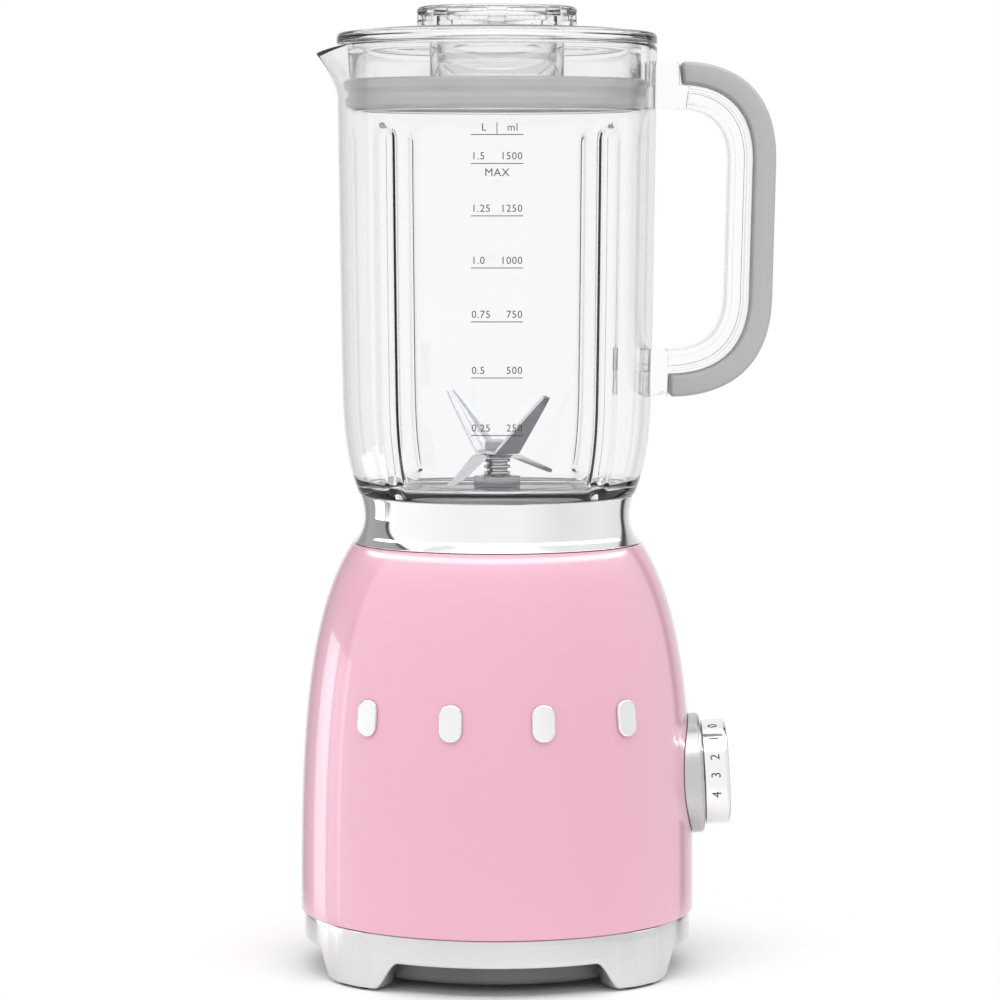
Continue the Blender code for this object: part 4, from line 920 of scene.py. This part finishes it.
def make_lid():
    tube_in = CAP_SKIRT_R + RUN_GAP
    tube_out = tube_in + LID_WALL
    tube_low = LID_Z - 0.0130
    roof = LID_TOP - LID_WALL - 0.0008
    groove = PLUG_R - 0.0012
    seal_high, seal_low = PLUG_LOW + 0.0134, PLUG_LOW + 0.0006
    inside = PLUG_R - LID_WALL - 0.0012
    outline = soften([
        (tube_in, LID_TOP, 0.0008), (JUG_R - 0.0130, LID_TOP, 0.004), (JUG_R - 0.0085, LID_TOP - 0.0012, 0.003),
        (JUG_R - 0.0060, LID_TOP - 0.0012, 0.001), (JUG_R, LID_TOP - 0.0012, 0.0040), (JUG_R, LID_Z, 0.0006),
        (PLUG_R, LID_Z, 0.0006), (PLUG_R, seal_high), (groove, seal_high), (groove, seal_low), (PLUG_R, seal_low),
        (PLUG_R, PLUG_LOW, 0.0005), (inside, PLUG_LOW, 0.0005), (inside, roof, 0.0020), (tube_out, roof, 0.0010),
        (tube_out, tube_low, 0.0012), (tube_in, tube_low, 0.0012),
    ])
    piece(lathe("clear_lid", outline), "clear", "lid", "lid")

    reach = JUG_R - JUG_WALL - 0.0005
    top, foot = seal_high - GAP, seal_low + GAP
    middle = (top + foot) / 2
    outline = soften([
        (PLUG_R, top, 0.0003), (reach, top - 0.0012, 0.0008), (reach, top - 0.0040, 0.0008),
        (PLUG_R + 0.0010, middle, 0.001), (reach, foot + 0.0040, 0.0008), (reach, foot + 0.0012, 0.0008),
        (PLUG_R, foot, 0.0003), (groove + GAP, foot), (groove + GAP, top),
    ])
    piece(lathe("seal_band", outline), "seal", "lid", "lid_seal")


def make_cap():
    skirt_in = CAP_SKIRT_R - 0.0020
    skirt_low = low("lid_cap").z
    seal_z = LID_Z - 0.0020
    outline = soften([
        (0.0, CAP_TOP), (CAP_R, CAP_TOP, 0.0018), (CAP_R, CAP_Z, 0.0008), (CAP_SKIRT_R, CAP_Z, 0.0004),
        (CAP_SKIRT_R, seal_z, 0.0002), (CAP_SKIRT_R - 0.0008, seal_z), (CAP_SKIRT_R - 0.0008, seal_z - 0.0030),
        (CAP_SKIRT_R, seal_z - 0.0030, 0.0002), (CAP_SKIRT_R, skirt_low, 0.0010), (skirt_in, skirt_low, 0.0010),
        (skirt_in, CAP_TOP - 0.0025, 0.0020), (0.0, CAP_TOP - 0.0025),
    ])
    cap = lathe("clear_cap", outline)

    def build(bm):
        height = CAP_TOP - CAP_Z
        for i in range(8):
            turn = 22.5 + 45 * i
            place = Matrix.Translation(polar(CAP_R + 0.0012, turn, CAP_Z + height * 0.56))
            matrix = place @ Matrix.Rotation(math.radians(turn), 4, "Z")
            block(bm, (0.0056, CAP_R * 0.54, height * 0.56), matrix, 0.0006)
    boolean(cap, mesh_piece("cap_windows", build), "DIFFERENCE")
    piece(cap, "clear", "lid_cap", "lid_cap")


# ---------------------------------------------------------------- studio

def finish_frame():
    """Every CAD node that still shows gets its slot's finish."""
    for subpart in frame["record"]["subparts"]:
        obj = frame["nodes"][subpart["node"]]
        look = CLEAR_SEAL if subpart["node"] in ("cap_seal", "jug_gasket") else FINISHES[subpart["material_slot"]]
        if obj.data.materials:
            for i in range(len(obj.data.materials)):
                obj.data.materials[i] = look
        else:
            obj.data.materials.append(look)


def make_floor():
    """A pale disc whose rim fades out into the pale backdrop."""
    bm = bmesh.new()
    bmesh.ops.create_circle(bm, cap_ends=True, segments=128, radius=0.34)
    mesh = bpy.data.meshes.new("floor")
    bm.to_mesh(mesh)
    bm.free()
    floor = bpy.data.objects.new("floor", mesh)
    bpy.context.scene.collection.objects.link(floor)
    floor.location = (AXIS_X, 0, 0)
    look = finish("pale_floor", (0.88, 0.88, 0.88), 0.75, 0.004, 0.03, 3.0, 60.0, 0.00002)
    tree = look.node_tree
    shader = tree.nodes["Principled BSDF"]
    coords = node(tree, "ShaderNodeTexCoord").outputs["Object"]
    length = node(tree, "ShaderNodeVectorMath", operation="LENGTH")
    tree.links.new(coords, length.inputs[0])
    fade = span(tree, length.outputs["Value"], 0.0, 1.0, 0.10, 0.22)
    clear = node(tree, "ShaderNodeBsdfTransparent")
    mix = node(tree, "ShaderNodeMixShader")
    tree.links.new(fade, mix.inputs["Fac"])
    tree.links.new(shader.outputs["BSDF"], mix.inputs[1])
    tree.links.new(clear.outputs["BSDF"], mix.inputs[2])
    tree.links.new(mix.outputs["Shader"], tree.nodes["Material Output"].inputs["Surface"])
    floor.data.materials.append(look)


def grey(value):
    return (value, value, value)


# Brightness of the room all round the object, by degrees from the side that the camera is on, left negative.
ROOM = ((-180, 0.98), (-163, 0.80), (-159, 0.36), (-150, 0.34), (-144, 0.42), (-113, 0.36), (-111, 0.06),
        (-108, 0.06), (-106, 1.10), (-70, 1.05), (-30, 0.99), (20, 1.00), (60, 0.84), (100, 0.90), (134, 0.82),
        (137, 0.06), (142, 0.08), (147, 0.60), (165, 0.90), (180, 0.98))
STRIP_LIGHT = 9.0
CEILING_Z = 0.82           # a ray that points up more steeply than this sees the ceiling


def make_room():
    """A white backdrop to the camera. To the object, a room with pale walls and ceiling, dark flags on the left and
    right and a curved strip light. What is seen through the clear pieces is mostly the backdrop."""
    world = bpy.data.worlds.new("studio")
    bpy.context.scene.world = world
    world.use_nodes = True
    tree = world.node_tree
    background = tree.nodes["Background"]
    background.inputs["Color"].default_value = (1.0, 1.0, 1.0, 1.0)
    background.inputs["Strength"].default_value = 1.0
    coords = node(tree, "ShaderNodeTexCoord").outputs["Generated"]
    split = node(tree, "ShaderNodeSeparateXYZ")
    tree.links.new(coords, split.inputs["Vector"])
    toward = node(tree, "ShaderNodeMath", operation="MULTIPLY")
    toward.inputs[1].default_value = -1.0
    tree.links.new(split.outputs["Y"], toward.inputs[0])
    turn = node(tree, "ShaderNodeMath", operation="ARCTAN2")
    tree.links.new(split.outputs["X"], turn.inputs[0])
    tree.links.new(toward.outputs["Value"], turn.inputs[1])
    share = span(tree, turn.outputs["Value"], 0.0, 1.0, -math.pi, math.pi)
    walls = ramp(tree, share, [((degrees + 180) / 360, grey(value / STRIP_LIGHT)) for degrees, value in ROOM])
    ceiling = ramp(tree, split.outputs["Z"], ((0.0, grey(0.09)), (0.85, grey(0.10)), (0.95, grey(0.13))))
    overhead = node(tree, "ShaderNodeMath", operation="GREATER_THAN")
    overhead.inputs[1].default_value = CEILING_Z
    tree.links.new(split.outputs["Z"], overhead.inputs[0])
    mix = node(tree, "ShaderNodeMix", data_type="RGBA")
    tree.links.new(overhead.outputs["Value"], mix.inputs["Factor"])
    tree.links.new(walls, mix.inputs["A"])
    tree.links.new(ceiling, mix.inputs["B"])
    # The strip light is curved so as to show wherever a surface leans back from the camera by about 31 degrees.
    lean = node(tree, "ShaderNodeVectorMath", operation="ADD")
    lean.inputs[1].default_value = (0.0, -1.0, 0.09)
    tree.links.new(coords, lean.inputs[0])
    unit = node(tree, "ShaderNodeVectorMath", operation="NORMALIZE")
    tree.links.new(lean.outputs["Vector"], unit.inputs[0])
    across = node(tree, "ShaderNodeSeparateXYZ")
    tree.links.new(unit.outputs["Vector"], across.inputs["Vector"])
    stops = ((0.0, 0.0), (0.490, 0.0), (0.508, 1.0), (0.526, 1.0), (0.540, 0.0), (1.0, 0.0))
    strip = ramp(tree, across.outputs["Z"], [(place, grey(value)) for place, value in stops])
    high_up = span(tree, split.outputs["Z"], 0.0, 1.0, 0.36, 0.46)
    shown = node(tree, "ShaderNodeMath", operation="MULTIPLY")
    tree.links.new(strip, shown.inputs[0])
    tree.links.new(high_up, shown.inputs[1])
    all_round = node(tree, "ShaderNodeMix", data_type="RGBA")
    tree.links.new(shown.outputs["Value"], all_round.inputs["Factor"])
    tree.links.new(mix.outputs["Result"], all_round.inputs["A"])
    all_round.inputs["B"].default_value = (1.0, 1.0, 1.0, 1.0)
    lit = node(tree, "ShaderNodeBackground")
    lit.inputs["Strength"].default_value = STRIP_LIGHT
    tree.links.new(all_round.outputs["Result"], lit.inputs["Color"])
    rays = node(tree, "ShaderNodeLightPath")
    pale = node(tree, "ShaderNodeMath", operation="MULTIPLY_ADD")
    pale.inputs[1].default_value = 0.8
    tree.links.new(rays.outputs["Is Transmission Ray"], pale.inputs[0])
    tree.links.new(rays.outputs["Is Camera Ray"], pale.inputs[2])
    choose = node(tree, "ShaderNodeMixShader")
    tree.links.new(pale.outputs["Value"], choose.inputs["Fac"])
    tree.links.new(lit.outputs["Background"], choose.inputs[1])
    tree.links.new(background.outputs["Background"], choose.inputs[2])
    tree.links.new(choose.outputs["Shader"], tree.nodes["World Output"].inputs["Surface"])


def area_light(name, place, target, size, power, spread=180.0):
    light = bpy.data.lights.new(name, "AREA")
    light.shape = "RECTANGLE"
    light.size, light.size_y = size
    light.energy = power
    light.spread = math.radians(spread)
    lamp = bpy.data.objects.new(name, light)
    lamp.visible_camera = False
    lamp.location = place
    lamp.rotation_euler = (Vector(target) - Vector(place)).to_track_quat("-Z", "Y").to_euler()
    bpy.context.scene.collection.objects.link(lamp)


CAMERA_LENS = 141.14       # millimetres, on a 36 mm sensor
CAMERA_AWAY = 1.622
CAMERA_HEIGHT = 0.320
CAMERA_DOWN = 4.45         # degrees that it looks down, and to the right
CAMERA_RIGHT = 0.04384


def make_camera():
    camera = bpy.data.cameras.new("camera")
    camera.sensor_width = 36.0
    camera.lens = CAMERA_LENS
    camera.clip_start = 0.05
    seen = bpy.data.objects.new("camera", camera)
    seen.location = (AXIS_X, -CAMERA_AWAY, CAMERA_HEIGHT)
    seen.rotation_euler = (math.radians(90 - CAMERA_DOWN), 0, math.radians(-CAMERA_RIGHT))
    bpy.context.scene.collection.objects.link(seen)
    bpy.context.scene.camera = seen


make_camera()
make_room()
area_light("top_panel", (AXIS_X, -0.15, 1.2), (AXIS_X, 0, 0.1), (0.9, 0.7), 1.0)
area_light("side_strip", (-0.285, 0.118, 0.060), (-0.06, 0, 0.060), (0.080, 0.20), 0.011, 54.0)
area_light("side_glow", (-0.330, 0.05, 0.060), (-0.06, 0, 0.060), (0.070, 0.20), 0.006, 54.0)
make_floor()
finish_frame()
make_housing()
make_foot_ring()
make_pan()
make_knob()
make_spring()
make_studs()
make_jug()
make_scale()
make_collar()
make_dish()
make_blades()
make_lid()
make_cap()

scene = bpy.context.scene
scene.view_settings.view_transform = "Standard"
scene.cycles.max_bounces = 24
scene.cycles.transmission_bounces = 20
scene.cycles.transparent_max_bounces = 16
